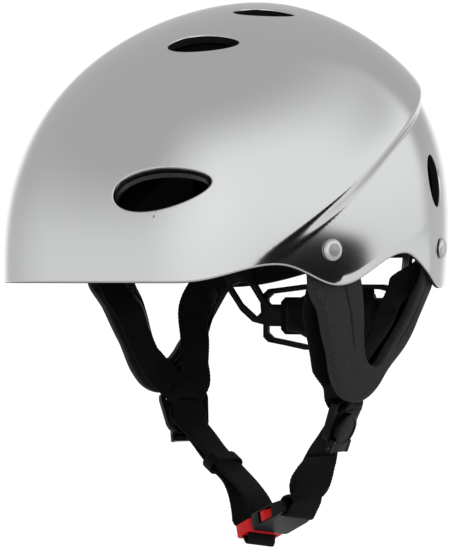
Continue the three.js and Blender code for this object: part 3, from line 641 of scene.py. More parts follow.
def strap_mesh(centre, across, width, thickness, closed=False, scallop=0.12):
    """Webbing along a line: rounded woven edges with the small waves of the selvedge."""
    t = unit(np.roll(centre, -1, 0) - np.roll(centre, 1, 0)) if closed else tangents(centre)
    w = unit(across - t * np.sum(across * t, axis=1, keepdims=True))
    n = np.cross(t, w)
    along = lengths_along(centre)
    half = width / 2 + scallop * np.sin(2 * np.pi * along / SELVEDGE_PITCH)
    r = thickness / 2
    turns = np.radians([90, 60, 25, -25, -60, -90])
    fill = np.array([0.62, 0.22, -0.22, -0.62])
    right = [(1, r * math.cos(a), r * math.sin(a)) for a in turns]
    left = [(-1, -r * math.cos(a), -r * math.sin(a)) for a in turns]
    section = right + [(f, 0, -r) for f in fill] + left + [(-f, 0, r) for f in fill]
    rings, uv = [], []
    for share, shift, height in section:
        x = share * (half - r) + shift
        rings.append(centre + w * x[:, None] + n * height)
        uv.append(np.stack([x, along], axis=1))
    rings = np.stack(rings, axis=1)
    uv = np.stack(uv, axis=1).reshape(-1, 2)
    return *sweep(rings, closed=closed), uv


def rows_line(rows):
    """Rows of [x, y, z, width axis] become an evenly sampled line and its width axes."""
    fine = spline(rows, 24)
    along = lengths_along(fine[:, :3])
    at = np.linspace(0, along[-1], max(8, int(along[-1] / WEB_PITCH)))
    line = np.stack([np.interp(at, along, fine[:, k]) for k in range(fine.shape[1])], axis=1)
    return line[:, :3], line[:, 3:]


def refine(node, material, body, width, segments=3, solid=None, reshape=None):
    """A finer copy of a rigid piece, or the given solid: flat faces made whole and edges rounded."""
    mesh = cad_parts[node].data.copy() if solid is None else plain_mesh(node, *solid)
    if reshape is not None:
        moved = reshape(np.array([v.co for v in mesh.vertices]) / MM) * MM
        mesh.vertices.foreach_set("co", moved.astype(np.float32).ravel())
    mesh.name = node + "_fine"
    mesh.materials.clear()
    mesh.materials.append(material)
    bm = bmesh.new()
    bm.from_mesh(mesh)
    bmesh.ops.remove_doubles(bm, verts=bm.verts, dist=2e-5)
    bmesh.ops.dissolve_limit(bm, angle_limit=math.radians(FLAT_JOINT), verts=bm.verts, edges=bm.edges)
    sharp = [e for e in bm.edges if e.is_manifold and e.calc_face_angle(0) > math.radians(SHARP_EDGE)]
    bmesh.ops.bevel(bm, geom=sharp, offset=width * MM, offset_type="OFFSET", segments=segments,
                    profile=0.5, affect="EDGES", clamp_overlap=True)
    bmesh.ops.recalc_face_normals(bm, faces=bm.faces)
    bm.to_mesh(mesh)
    bm.free()
    if len(mesh.uv_layers):
        mesh.uv_layers.remove(mesh.uv_layers[0])
    mesh.shade_smooth()
    mesh.set_sharp_from_angle(angle=math.radians(SHADE_BREAK))
    obj = bpy.data.objects.new(node + "_fine", mesh)
    scene.collection.objects.link(obj)
    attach(obj, body)
    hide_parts(node)
    return obj


def carved(verts, faces, cutters):
    """The solid less the cutters, as vertices and faces in millimetres."""
    body = make("carving", verts, faces, None, smooth_shade=False)
    tools = [make("carver", v, f, None, smooth_shade=False) for v, f in cutters]
    for tool in tools:
        step = body.modifiers.new("cut", "BOOLEAN")
        step.operation = "DIFFERENCE"
        step.solver = "EXACT"
        step.object = tool
    bpy.context.view_layer.update()
    result = body.evaluated_get(bpy.context.evaluated_depsgraph_get()).to_mesh()
    out_verts = np.array([v.co for v in result.vertices]) / MM
    out_faces = [list(p.vertices) for p in result.polygons]
    for obj in [body, *tools]:
        mesh = obj.data
        bpy.data.objects.remove(obj)
        bpy.data.meshes.remove(mesh)
    return out_verts, out_faces


def pair(name, verts, faces, material, body, node, slot, sharp=None, soft=None):
    """The same piece on both sides of the head."""
    for side, (v, f) in (("left", (np.asarray(verts, float), faces)), ("right", mirror(verts, faces))):
        obj = make(f"{name}_{side}", v, f, material, body, [f"{node}_{side}"], slot, sharp=sharp)


# ---------- foam liner and comfort pads ----------
LINER_DEPTH, LINER_THICK, LINER_TOP, PAD_DEPTH = 5.7, 10.0, 114, 17.1
CROWN_LEVEL, HEAD_RADIUS, EDGE_SHARE = 127, 110, 0.35
AIRWAY_INSET, AIRWAY_BEHIND, AIRWAY_AHEAD = 1.5, 24, 16
CUSHION_LEVEL, CUSHION_FLOOR = 158.5, 135.6
# the crown cushion's underside: share of its outline, share of its edge's height
CUSHION_STEPS = [(0.999, 0.7), (0.995, 0.45), (0.98, 0.2), (0.95, 0.06), (0.9, 0.0), (0.75, -0.02),
                 (0.5, -0.04), (0.25, -0.05), (0.02, -0.05)]


def between(front, behind, domed=False):
    """Two grids of points closed into one solid; domes wrap round and are closed at their tops."""
    n, m = front.shape[:2]
    verts = np.vstack([front.reshape(-1, 3), behind.reshape(-1, 3)])
    other = n * m
    faces = []
    walls = [(0, 1)] if domed else [(0, 1), (m - 1, -1)]
    for i in range(n if domed else n - 1):
        k = (i + 1) % n
        for j in range(m - 1):
            q = [i * m + j, k * m + j, k * m + j + 1, i * m + j + 1]
            faces += [q, [other + c for c in q[::-1]]]
        for j, way in walls:
            faces.append([i * m + j, other + i * m + j, other + k * m + j, k * m + j][::way])
    if domed:
        top = [i * m + m - 1 for i in range(n)]
        faces += [top, [other + c for c in top[::-1]]]
    else:
        for i, way in ((0, -1), (n - 1, 1)):
            for j in range(m - 1):
                a, b = i * m + j, i * m + j + 1
                faces.append([a, other + a, other + b, b][::way])
    return verts, outward(verts, faces)


def panel(a0, a1, z0, z1, depth, thickness, radius, columns, rows, crown=0.0):
    """A slab inside the shell with rounded edges on its inner face; crown makes it swell in the middle."""
    deg, z = np.meshgrid(np.linspace(a0, a1, columns), np.linspace(z0, z1, rows), indexing="ij")
    wide = abs(a1 - a0) / 2 * math.radians(1) * HEAD_RADIUS
    s, t = (deg - a0) / (a1 - a0), (z - z0) / (z1 - z0)
    edge = np.minimum(np.minimum(s, 1 - s) * 2 * wide, np.minimum(t, 1 - t) * (z1 - z0))
    rise = np.sqrt(np.clip(1 - (1 - np.minimum(edge / radius, 1)) ** 2, 0, 1))
    swell = (1 - (2 * s - 1) ** 4) * (1 - (2 * t - 1) ** 4)
    inner = depth + thickness * (EDGE_SHARE + (1 - EDGE_SHARE - crown) * rise + crown * swell)
    return between(inside(deg, z, np.full(z.shape, float(depth))), inside(deg, z, inner))


def vent_cutter(vent, side):
    """A straight plug through a vent, a little smaller than its opening."""
    a = np.linspace(0, 2 * np.pi, 40, endpoint=False)
    centre, long, short, n = vent_axes(vent)
    uw = egg(vent, a, -AIRWAY_INSET)
    flat = centre + uw[:, :1] * long + uw[:, 1:] * short
    return sweep(np.stack([(flat + n * h) * flip_x(side) for h in (-AIRWAY_BEHIND, AIRWAY_AHEAD)]))


airways = [vent_cutter(vent, side) for vent in VENTS for side in (1, -1)]


def liner(name, solid, cutters, node):
    obj = make(name, *carved(*solid, cutters), FOAM, "helmet_body", [node], "foam", sharp=40)


front_foam = panel(-50, 50, 8, LINER_TOP, LINER_DEPTH, LINER_THICK, 4, 61, 49)
liner("liner_front_foam", front_foam, airways[:4], "liner_front")
rear_foam = panel(107, 253, 44, 102, LINER_DEPTH, LINER_THICK, 4, 73, 29)
liner("liner_rear_foam", rear_foam, airways[6:], "liner_rear")
side_foam = panel(52, 105, 36, LINER_TOP, LINER_DEPTH, LINER_THICK, 4, 37, 37)
pair("liner_side_foam", *side_foam, FOAM, "helmet_body", "liner", "foam", sharp=40, soft=0.95)


def cap_grid(z0, depth, columns=96, rows=16):
    """Points of the shell's top above a height, a depth in."""
    deg, j = np.meshgrid(-180 + 360 * np.arange(columns) / columns, np.arange(rows + 1) / rows, indexing="ij")
    z = HEIGHT - (HEIGHT - z0) * (1 - j) ** 1.7
    z[:, -1] = HEIGHT - 0.02
    return inside(deg, z, np.full(z.shape, float(depth)))


crown_faces = [cap_grid(CROWN_LEVEL, depth) for depth in (LINER_DEPTH, LINER_DEPTH + LINER_THICK)]
liner("liner_crown_foam", between(*crown_faces, domed=True), airways[2:6], "liner_crown")

brow = panel(-34, 34, 12, 42, PAD_DEPTH, 5, 5, 69, 25, crown=0.35)
brow_pad = make("brow_cushion", *brow, KNIT, "helmet_body", ["brow_pad"], "fabric")


def crown_cushion():
    """A dome under the liner with a rolled edge and a nearly flat underside."""
    dome = cap_grid(CUSHION_LEVEL, PAD_DEPTH + 0.6, 96, 8)
    edge = dome[:, 0]
    middle = np.array([0, CENTRE_Y, 0])
    skirt = []
    for scale, share in CUSHION_STEPS:
        ring = middle + (edge - middle) * np.array([scale, scale, 0])
        ring[:, 2] = CUSHION_FLOOR + (edge[:, 2] - CUSHION_FLOOR) * share
        skirt.append(ring)
    return sweep(np.concatenate([dome[:, ::-1].transpose(1, 0, 2), np.stack(skirt)]))


crown_pad = make("crown_cushion", *crown_cushion(), KNIT, "helmet_body", ["crown_pad"], "fabric")

# ---------- ear guards ----------
COVER_DEPTH, GROOVE_SHARE, GROOVE_DEPTH = 4.0, 0.66, 0.9
PAD_INSET, PAD_GAP = 3.5, 0.5
EAR_OUTER = [[-27, 29], [-27.5, 12], [-26, -2], [-15.5, -17], [-6, -37], [0.5, -54], [9, -64], [22, -67.5],
             [35, -62], [47, -50], [58, -39], [67, -27], [77, -12], [84, -1], [89, 12], [91, 29]]
EAR_INNER = [[2, 29], [8, 12], [13, -3], [17, -18], [20, -34], [23.5, -42.5], [28, -46], [33, -46.5],
             [39, -42.5], [45.5, -35], [52.5, -25.5], [58, -16], [62, -7], [65.5, 2], [68.5, 14], [70, 29]]
PER = 14
ear_outer, ear_inner = spline(EAR_OUTER, PER), spline(EAR_INNER, PER)


def cover_thickness(z):
    """The guard is thinner where it runs up under the shell."""
    return 6 - 3 * ease(z, -12, 4)


def ear_rings(first, last, section, inset=0.0):
    """Rings round the U of the guard; section(span, z) gives points of (distance in, depth)."""
    rings = []
    for o, i in zip(ear_outer[first:last], ear_inner[first:last]):
        span = np.linalg.norm(i - o)
        z_middle = (o[1] + i[1]) / 2
        steps = np.array(section(span, z_middle))
        share = (inset + steps[:, 0]) / span
        yz = o + (i - o) * share[:, None]
        rings.append(side_point(yz[:, 0], yz[:, 1], steps[:, 1]))
    return np.stack(rings)


def guard_section(span, z):
    """The guard's outline across one limb: full outer roll, stitched groove, tight inner roll."""
    thick = float(cover_thickness(z))
    cut = GROOVE_DEPTH * float(ease(z, -40, -34)) * float(1 - ease(z, -1, 5))
    turn = np.radians(np.linspace(0, 90, 7))
    points = [(3.8 * (1 - math.cos(a)), COVER_DEPTH + 0.6 * thick * (1 - math.sin(a))) for a in turn]
    groove = span * GROOVE_SHARE
    points += [(groove * 0.5, COVER_DEPTH - 0.15), (groove - 1.0, COVER_DEPTH),
               (groove - 0.45, COVER_DEPTH + 0.35 * cut), (groove - 0.2, COVER_DEPTH + cut),
               (groove + 0.2, COVER_DEPTH + cut), (groove + 0.45, COVER_DEPTH + 0.35 * cut),
               (groove + 1.0, COVER_DEPTH), (groove + 2.5, COVER_DEPTH)]
    points += [(span - 2.2 * (1 - math.sin(a)), COVER_DEPTH + 0.45 * thick * (1 - math.cos(a))) for a in turn]
    points += [(span, COVER_DEPTH + thick - 0.8), (span - 0.3, COVER_DEPTH + thick - 0.2),
               (span - 1, COVER_DEPTH + thick), (span * 0.5, COVER_DEPTH + thick), (1.2, COVER_DEPTH + thick),
               (0.4, COVER_DEPTH + thick - 0.2), (0.05, COVER_DEPTH + thick - 0.8)]
    return points


guard = sweep(ear_rings(0, len(ear_outer), guard_section))
pair("ear_guard_shell", *guard, COVER, "helmet_body", "ear_guard", "cover", sharp=50)
PAD_FIRST, PAD_LAST = int(2.2 * PER), int(12.45 * PER)


def pad_section(span, z):
    """The cushion's outline: piped seams, and a crowned middle between two shallow valleys."""
    base = COVER_DEPTH + float(cover_thickness(z)) + PAD_GAP
    full = 7 - 5 * float(ease(z, -16, -4))
    wide = span - 2 * PAD_INSET
    s = np.linspace(0, 1, 15)
    rise = (1 - np.abs(2 * s - 1) ** 3.2) ** 0.6
    crown = [(1.6 + (wide - 3.2) * a, base + full * (0.34 + 0.66 * b)) for a, b in zip(s, rise)]
    pipe = [(0.0, base + 0.12 * full), (0.0, base + 0.32 * full), (0.5, base + 0.46 * full),
            (1.1, base + 0.44 * full)]
    return [(0.4, base), *pipe, *crown, *[(wide - t, d) for t, d in pipe[::-1]], (wide - 0.4, base),
            (wide * 0.5, base)]


cushion = sweep(ear_rings(PAD_FIRST, PAD_LAST, pad_section, PAD_INSET))
pair("ear_cushion", *cushion, FOAM, "helmet_body", "ear_pad", "foam", soft=0.8)

# ---------- dividers ----------
TURN, TILT = math.radians(16.8), math.radians(22)
DIVIDER = np.array([69, 27.3, -78.5])
D_ACROSS = np.array([-math.sin(TURN), math.cos(TURN), 0])
D_OUT = np.array([D_ACROSS[1], -D_ACROSS[0], 0])
D_UP = D_OUT * math.sin(TILT) + np.array([0, 0, math.cos(TILT)])
D_NORMAL = np.cross(D_ACROSS, D_UP)


def at_divider(a, v, n):
    return DIVIDER + D_ACROSS * a + D_UP * v + D_NORMAL * n


def divider_rows(rows):
    """Rows of [across, up, out, width axis across, width axis up] near the divider."""
    return [[*at_divider(a, v, n), *(D_ACROSS * wa + D_UP * wv)] for a, v, n, wa, wv in rows]


def round_corners(centre, across, up):
    """Pulls the corners of a flat frame in toward a rounded outline."""
    def reshape(points):
        rel = points - centre
        a, v = rel @ across, rel @ up
        size = np.array([np.abs(a).max(), np.abs(v).max()])
        share = np.stack([np.abs(a) / size[0], np.abs(v) / size[1]])
        pull = share.max(axis=0) / np.maximum((share ** 7).sum(axis=0) ** (1 / 7), 1e-6)
        return points + np.outer(a * (pull - 1), across) + np.outer(v * (pull - 1), up)
    return reshape


def divider_ring(profile, rise, side):
    """A ring turned about the divider's normal, on one side of the head."""
    solid = turned(profile, at_divider(0, rise, 0), D_NORMAL, hollow=True, steps=96)
    return solid if side == "left" else mirror(*solid)


for side, sign in (("left", 1), ("right", -1)):
    centre, across, up = (v * flip_x(sign) for v in (DIVIDER, D_ACROSS, D_UP))
    refine(f"divider_frame_{side}", PLASTIC, "helmet_body", 0.7,
           reshape=round_corners(centre, across, up))
    refine(f"divider_lock_{side}", PLASTIC, f"{side}_lock", 0.8)
    refine(f"lock_pin_{side}", PIN_STEEL, "helmet_body", 0.2)
    rim = divider_ring(ellipse((8.3, 5.35), (0.5, 0.5), 12), -4, side)
    make(f"lock_rim_{side}", *rim, PLASTIC, f"{side}_lock", slot="plastic")
    bead = divider_ring(ellipse((11.0, -2.3), (0.9, 1.1), 16), -2, side)
    make(f"divider_ring_{side}", *bead, PLASTIC, "helmet_body", slot="plastic")

# ---------- webbing ----------
WEB_WIDTH, WEB_THICK, WALL_SPAN = 20, 1.6, 4


def leg_rows(path):
    """Rows on the side wall from (y, z, depth), each with its width axis along the wall."""
    fine = spline(path, 6)
    t = np.gradient(fine[:, :2], axis=0)
    t = t / np.linalg.norm(t, axis=1, keepdims=True)
    e = np.stack([-t[:, 1], t[:, 0]], axis=1)

    def beside(shift):
        return side_point(*(fine[:, :2] + shift * e).T, fine[:, 2] + WEB_THICK / 2)

    return np.hstack([beside(0), unit(beside(WALL_SPAN) - beside(-WALL_SPAN))]).tolist()


FRONT_LEG = [[-13.5, 28, 7.5], [-13, 11, 7.7], [-12.5, 4, 9.8], [-11, -5, 13.8], [-6.5, -17, 18],
             [-1, -31, 18], [4.5, -45, 18.5]]
FRONT_END = [(-16.5, 25, -5.4, 0.84, 0.54), (-9.5, 17, -5.0, 0.88, 0.45), (-4, 12.8, -4.2, 0.95, 0.3),
             (-0.9, 10.7, -3.0, 1, 0.1), (0, 9.4, -1, 1, 0), (0, 9.2, 1, 1, 0), (-0.6, 10.4, 2.9, 1, 0.1),
             (-2, 13, 3.3, 0.95, 0.3)]
REAR_END = [(7.5, 19, -4.9, 0.9, -0.45), (4.5, 14.5, -5.1, 0.93, -0.3), (1.6, 10, -4.6, 1, -0.1),
            (0.3, 7.9, -2.4, 1, 0), (0, 7.5, 0, 1, 0), (0.4, 8.3, 2.8, 1, 0), (1.5, 11.5, 5.0, 0.98, -0.15)]


def rear_leg(shift):
    """The rear leg's route; the right one hangs a little further forward."""
    return [[80.5, 28, 7.5], [80.5, 12, 7.7], [75, 5, 10.5], [64 - shift, -5, 18], [57 - shift, -17, 18.5],
            [52 - 0.6 * shift, -36, 21.2], [47 - 0.3 * shift, -48, 23.2]]


def web_piece(name, rows, body, node, flip=False, first=0, last=None):
    """Webbing along rows of [x, y, z, width axis], or along a stretch of their samples."""
    centre, across = rows_line(rows)
    verts, faces, uv = strap_mesh(centre[first:last], across[first:last], WEB_WIDTH, WEB_THICK)
    if flip:
        verts, faces = mirror(verts, faces)
    return make(name, verts, faces, WEB, body, [node], "webbing", uv=uv, sharp=60)


for side, shift in (("left", 0), ("right", 8)):
    for place, leg, end in (("front", FRONT_LEG, FRONT_END), ("rear", rear_leg(shift), REAR_END)):
        web_piece(f"web_{place}_{side}", leg_rows(leg) + divider_rows(end), "helmet_body",
                  f"strap_{place}_{side}", flip=side == "right")

SLOPE, ROLL = math.radians(24.4), math.radians(10)
JOINT = np.array([5.5, 28, -142.7])
B_ALONG = np.array([math.cos(SLOPE), 0, math.sin(SLOPE)])
B_UPRIGHT = np.array([-math.sin(SLOPE), 0, math.cos(SLOPE)])
B_ACROSS = np.array([0, math.cos(ROLL), 0]) - B_UPRIGHT * math.sin(ROLL)
B_NORMAL = np.cross(B_ALONG, B_ACROSS)


def at_buckle(u, w, n):
    return JOINT + B_ALONG * u + B_ACROSS * w + B_NORMAL * n


def buckle_rows(rows):
    return [[*at_buckle(u, 0, n), *B_ACROSS] for u, n in rows]


DIVIDER_EXIT = [(0, 6, -2.9, 1, 0), (0, 1, -3.0, 1, 0), (0, -3.5, -3.3, 1, 0), (0.2, -8, -4.6, 1, 0)]
CHIN_LEFT = [[54.8, 26.2, -96.5, 0.2, 0.97, -0.05], [49.5, 27.8, -104.5, 0.42, 0.85, -0.15],
             [44, 29, -115, 0.5, 0.8, -0.25]]
SOCKET_LOOP = [(37.6, 3.6), (33, 4.9), (29, 5.6), (26.4, 4.8), (25.5, 0), (26.4, -4.6), (29, -5.6),
               (33.5, -2.6), (38, 1.0)]
RETURN = [[40.2, 26.7, -117.4, 0.5, 0.8, -0.25], [44.2, 26.4, -111.4, 0.45, 0.85, -0.2],
          [49.8, 27.2, -105.2, 0.42, 0.85, -0.15], [54.2, 26.0, -99.2, 0.2, 0.97, -0.05]]
left_run = divider_rows(DIVIDER_EXIT) + CHIN_LEFT + buckle_rows(SOCKET_LOOP) + RETURN
chin_left = web_piece("chin_web_left", left_run, None, "chin_strap_left")
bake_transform(chin_left)

KEEPER = np.array([-35.2, 28, -108])
KEEPER_X, KEEPER_Y = np.array([0.863, 0, -0.505]), np.array([0.0, 1, 0])
KEEPER_Z = np.cross(KEEPER_X, KEEPER_Y)
KEEPER_HALF, KEEPER_END, KEEPER_BULGE = 11.6, 4.95, 0.5
CHIN_RIGHT = [[-52.5, 27, -92.4, 0.1, 1, 0], [-43.3, 28, -100.4, 0, 1, 0], [-28, 28, -110.6, 0, 1, 0],
              [-13.5, 28, -119.8, 0, 1, -0.05], [-4, 28, -127.5, 0, 1, -0.1],
              [0.5, 28, -134.5, 0.03, 1, -0.12]]
PLUG_LOOP = [(-3.3, 5.6), (-5.9, 4.3), (-6.75, 0.5), (-7.0, -3.6), (-7.9, -7.0), (-9.5, -8.4), (-11.2, -7.0),
             (-12.0, -3.6), (-12.2, 0), (-13.2, 3.0), (-15.8, 4.7)]
TAIL = [[-14.6, 28, -142.2, 0, 1, -0.13], [-15.5, 28, -137.5, 0, 1, -0.1], [-17, 28, -130.5, 0, 1, 0],
        [-19.6, 28, -124, 0, 1, 0], [-24, 28, -118, 0, 1, 0], [-34, 28, -111.2, 0, 1, 0],
        [-44.5, 28, -103.4, 0, 1, 0], [-51.5, 27.5, -96.8, 0, 1, 0], [-57, 26.8, -91.8, 0, 1, 0]]
mirrored_exit = [[-r[0], *r[1:3], -r[3], *r[4:]] for r in divider_rows(DIVIDER_EXIT)]
run = mirrored_exit + CHIN_RIGHT + buckle_rows(PLUG_LOOP) + TAIL
seam = int(np.argmax(rows_line(run)[0][:, 0] > KEEPER[0]))
chin_right = web_piece("chin_web_right", run, None, "chin_strap_right", last=seam + 1)
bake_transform(chin_right)
release = web_piece("chin_web_release", run, None, "strap_tail", first=seam)
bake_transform(release)


def keeper_mesh():
    """The elastic keeper: a flat loop with full round ends that bulge a little."""
    turns = np.linspace(-np.pi / 2, np.pi / 2, 24)
    right = [(KEEPER_HALF - KEEPER_END + (KEEPER_END + KEEPER_BULGE) * math.cos(a), KEEPER_END * math.sin(a))
             for a in turns]
    loop = np.array(right + [(-y, -z) for y, z in right])
    loop = resampled(np.vstack([loop, loop[:1]]), 140)[:-1]
    centre = KEEPER + loop[:, :1] * KEEPER_Y + loop[:, 1:] * KEEPER_Z
    return strap_mesh(centre, np.tile(KEEPER_X, (len(centre), 1)), 8, 1.3, closed=True, scallop=0.05)


verts, faces, uv = keeper_mesh()
make("keeper_elastic", verts, faces, WEB, "keeper_band", ["keeper"], "webbing", uv=uv, sharp=60)

# ---------- buckle ----------
SOCKET_HALF, SOCKET_THINS, POCKET_HALF = 4.6, 1.0, 3.4


def buckle_block(u0, u1, w0, w1, n0, n1):
    corners = [(u, w, n) for n in (n0, n1) for u, w in ((u0, w0), (u1, w0), (u1, w1), (u0, w1))]
    verts = np.array([at_buckle(*c) for c in corners])
    faces = [[3, 2, 1, 0], [4, 5, 6, 7], [0, 1, 5, 4], [1, 2, 6, 5], [2, 3, 7, 6], [3, 0, 4, 7]]
    return verts, outward(verts, faces)


def socket_solid():
    """The female half: a flat sleeve, thinner and narrower toward its strap bar, with side windows."""
    outline = [(0.2, 11.6), (0.6, 12.6), (2.0, 13.3), (20.0, 13.3), (26.0, 12.6), (29.0, 11.8), (30.2, 10.4)]
    outline = outline + [(u, -w) for u, w in outline[::-1]]

    def ring(side, shrink):
        return [at_buckle(u, w * shrink, side * (SOCKET_HALF - SOCKET_THINS * float(ease(u, 17, 30))))
                for u, w in outline]

    sleeve = sweep(np.array([ring(-1, 0.97), ring(-0.6, 1.0), ring(0.6, 1.0), ring(1, 0.97)]))
    pocket = buckle_block(-1, 21.5, -10.2, 10.2, -POCKET_HALF, POCKET_HALF)
    windows = buckle_block(8.0, 20.0, -15, 15, -POCKET_HALF, POCKET_HALF)
    strap_slot = buckle_block(24, 27, -10.7, 10.7, -7, 7)
    return carved(*sleeve, [pocket, windows, strap_slot])


def in_buckle(points):
    rel = points - JOINT
    return rel @ B_ALONG, rel @ B_ACROSS, rel @ B_NORMAL


def thicker(share):
    """Makes a buckle part deeper by a share of its own depth."""
    def reshape(points):
        return points + (in_buckle(points)[2] * share)[:, None] * B_NORMAL
    return reshape


def prong_shape(points):
    """Grips as tall as the windows, swelling a little past the sleeve's sides."""
    u, w, n = in_buckle(points)
    grip = ease(u, 7, 10)
    out = np.sign(w) * 1.1 * grip * ease(np.abs(w), 9.5, 12)
    return points + (n * 0.48 * grip)[:, None] * B_NORMAL + out[:, None] * B_ACROSS


refine("buckle_socket", PLASTIC, "chin_loop", 0.6, solid=socket_solid())
refine("buckle_plug", RED, "plug", 1.1, segments=4, reshape=thicker(0.4))
for place in ("front", "rear"):
    refine(f"prong_{place}", RED, f"{place}_prong", 0.9, segments=4, reshape=prong_shape)

# ---------- nape cradle ----------
NAPE_PARTS = [("cradle_frame", "cradle", 0.7), ("dial_housing", "cradle", 0.8), ("dial_cover", "cradle", 0.6),
              ("band_left", "left_band", 0.5), ("band_right", "right_band", 0.5),
              ("hanger_left", "helmet_body", 0.4), ("hanger_right", "helmet_body", 0.4),
              ("pinion", "dial", 0.2), ("dial_knob", "dial", 0.8)]
for node, body, rounding in NAPE_PARTS:
    refine(node, PLASTIC, body, rounding)
refine("dial_screw", CHROME, "dial", 0.3)
CRADLE_Y, CRADLE_R, CRADLE_Z = -44.0, 140.0, -20.5
NAPE_HALF, NAPE_THICK, NAPE_ROUND, NAPE_FACE = 42, 5.5, 5, -4.0


def on_arc(x, z, r):
    """Points of the cradle's arc behind the head, by distance across, height and distance out."""
    a = np.arcsin(x / CRADLE_R)
    return np.stack([(CRADLE_R + r) * np.sin(a), CRADLE_Y + (CRADLE_R + r) * np.cos(a), z + 0 * a], axis=-1)


def nape_cushion():
    """The cradle's pad: tallest in the middle, thin at its rounded ends."""
    x, t = np.meshgrid(np.linspace(-NAPE_HALF, NAPE_HALF, 61), np.linspace(-1, 1, 25), indexing="ij")
    half = np.interp(np.abs(x), [0, 24, 34, NAPE_HALF], [15, 15, 10.5, 9])
    z = CRADLE_Z + half * t
    edge = np.minimum(NAPE_HALF - np.abs(x), half * (1 - np.abs(t)))
    rise = np.sqrt(np.clip(1 - (1 - np.minimum(edge / NAPE_ROUND, 1)) ** 2, 0, 1))
    swell = (1 - (x / NAPE_HALF) ** 4) * (1 - t ** 4)
    thick = NAPE_THICK * (0.2 + 0.45 * rise + 0.35 * swell)
    return between(on_arc(x, z, NAPE_FACE), on_arc(x, z, NAPE_FACE - thick))


nape_pad = make("nape_cushion", *nape_cushion(), KNIT, "cradle", ["nape_pad"], "fabric")

# ---------- rivets and washers ----------
# degrees, height, and the depth of the last layer the rivet holds
RIVETS = {"side": (68, 18.4, 7.5 + 1.6 + 0.6), "rear": (119, 20, 10.6 + 2.4)}
HEAD_LIFT, TAIL_DEPTH = 0.4, 1.6
HEAD = [(6.0, 0), (6.05, 0.35), (5.9, 0.8), (5.5, 1.25), (4.9, 1.65), (4.3, 1.9), (3.9, 2.02), (3.7, 2.05),
        (3.3, 2.05), (1.5, 2.12), (0.2, 2.15)]
TAIL_END = [(1.5, -1.6), (2.6, -1.5), (3.1, -1.0), (3.2, -0.4), (3.2, 0), (2.2, 0)]
WASHER = [(2.7, 0), (4.4, 0), (4.55, -0.15), (4.55, -1.05), (4.4, -1.2), (2.7, -1.2)]


def lifted(profile, height):
    return [(radius, height + h) for radius, h in profile]


for place, (degrees, level, depth) in RIVETS.items():
    spot, facing = surface(degrees, level), normal_at(degrees, level)
    rivet = lifted(TAIL_END, -depth - TAIL_DEPTH) + [(2.2, HEAD_LIFT)] + lifted(HEAD, HEAD_LIFT)
    pair(f"rivet_{place}_turned", *turned(rivet, spot, facing, steps=72), CHROME, "helmet_body",
         f"rivet_{place}", "steel", sharp=40)
    washer = turned(lifted(WASHER, -depth), spot, facing, hollow=True, steps=48)
    pair(f"washer_{place}_turned", *washer, CHROME, "helmet_body", f"washer_{place}", "steel", sharp=40)

# ---------- studio ----------
FLOOR_LEVEL, FLOOR_RADIUS = -450, 1500
FLOOR_GREY = (0.88, 0.88, 0.88)
CARD_AZIMUTH, CARD_HEIGHT, CARD_DISTANCE = math.radians(109), math.radians(-4), 2000
CARD_WIDE, CARD_HIGH = math.radians(22), math.radians(11)
ROOM_LIGHT, LOW_LIGHT, KEY_LIGHT, FRONT_LIGHT, REAR_LIGHT = 0.60, 0.11, 0.55, 0.26, 0.40


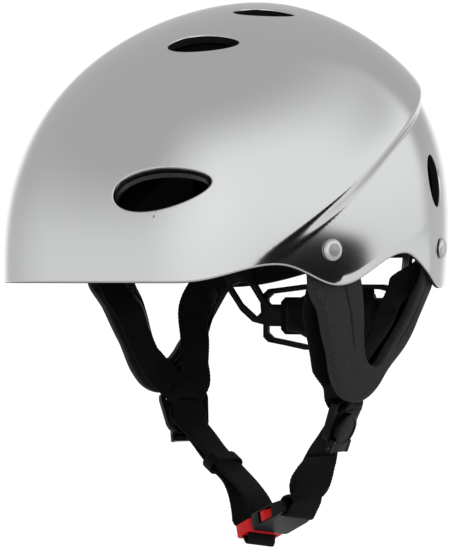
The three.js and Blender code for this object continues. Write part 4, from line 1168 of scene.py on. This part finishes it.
def studio_world():
    """A pale room: bright wall on the helmet's left, softer ones in front and behind, greyer overhead."""
    scene.world = bpy.data.worlds.new("studio")
    scene.world.use_nodes = True
    tree = scene.world.node_tree
    nodes = Nodes(tree)
    direction = nodes.new("TexCoord").outputs["Generated"]
    height = nodes.split(direction)[2]

    def facing(azimuth, low, high):
        return nodes.soft(nodes.toward(direction, azimuth), low, high)

    room = nodes.op("ADD", ROOM_LIGHT, nodes.soft(height, 0.35, 0.0, 0.0, LOW_LIGHT))
    key = nodes.chain("MULTIPLY", facing(116, 0.2, 0.82), facing(190, 0.96, 0.86),
                      nodes.soft(height, 0.92, 0.5), nodes.soft(height, -0.1, 0.35, 0.5, 1.0), KEY_LIGHT)
    front = nodes.chain("MULTIPLY", facing(5, -0.1, 0.85), nodes.soft(height, 0.66, 0.1), FRONT_LIGHT)
    behind = nodes.chain("MULTIPLY", facing(-131, 0.80, 0.95), nodes.soft(height, 0.34, 0.16), REAR_LIGHT)
    background = tree.nodes["Background"]
    background.inputs["Color"].default_value = (1, 1, 1, 1)
    nodes.feed(background.inputs["Strength"], nodes.chain("ADD", room, key, front, behind))


def soft_flag():
    """A black card with a soft edge, seen only in reflections."""
    material = bpy.data.materials.new("soft_black_card")
    material.use_nodes = True
    material.node_tree.nodes.clear()
    nodes = Nodes(material.node_tree)
    x, y, _ = nodes.split(nodes.new("TexCoord").outputs["Generated"])
    x, y = (nodes.op("MULTIPLY", nodes.op("SUBTRACT", value, 0.5), 2) for value in (x, y))
    black = nodes.new("BsdfDiffuse")
    black.inputs["Color"].default_value = (0, 0, 0, 1)
    mix = nodes.new("MixShader")
    nodes.feed(mix.inputs["Fac"], nodes.soft(nodes.length(x, y), 1.0, 0.8))
    nodes.feed(mix.inputs[1], nodes.new("BsdfTransparent").outputs[0])
    nodes.feed(mix.inputs[2], black.outputs[0])
    nodes.feed(nodes.new("OutputMaterial").inputs["Surface"], mix.outputs[0])
    wide, high = (CARD_DISTANCE * math.tan(angle) for angle in (CARD_WIDE, CARD_HIGH))
    corners = [[-wide, -high, 0], [wide, -high, 0], [wide, high, 0], [-wide, high, 0]]
    card = make("soft_black_card", corners, [[0, 1, 2, 3]], material, smooth_shade=False)
    level = math.cos(CARD_HEIGHT)
    toward = Vector((math.sin(CARD_AZIMUTH) * level, -math.cos(CARD_AZIMUTH) * level, math.sin(CARD_HEIGHT)))
    card.location = toward * CARD_DISTANCE * MM
    card.rotation_euler = (-toward).to_track_quat("Z", "Y").to_euler()
    card.visible_camera = False
    card.visible_diffuse = False
    card.visible_shadow = False
    card.visible_transmission = False


def floor_disc():
    material, nodes, shader = new_material("pale_floor", FLOOR_GREY, 0.7)
    noise_tint(nodes, shader, FLOOR_GREY, 0.01, 3)
    outline = ellipse((0, 0), (FLOOR_RADIUS, FLOOR_RADIUS), 96)
    disc = make("floor", [(x, y, FLOOR_LEVEL) for x, y in outline], [list(range(96))], material,
                smooth_shade=False)


studio_world()
soft_flag()
floor_disc()
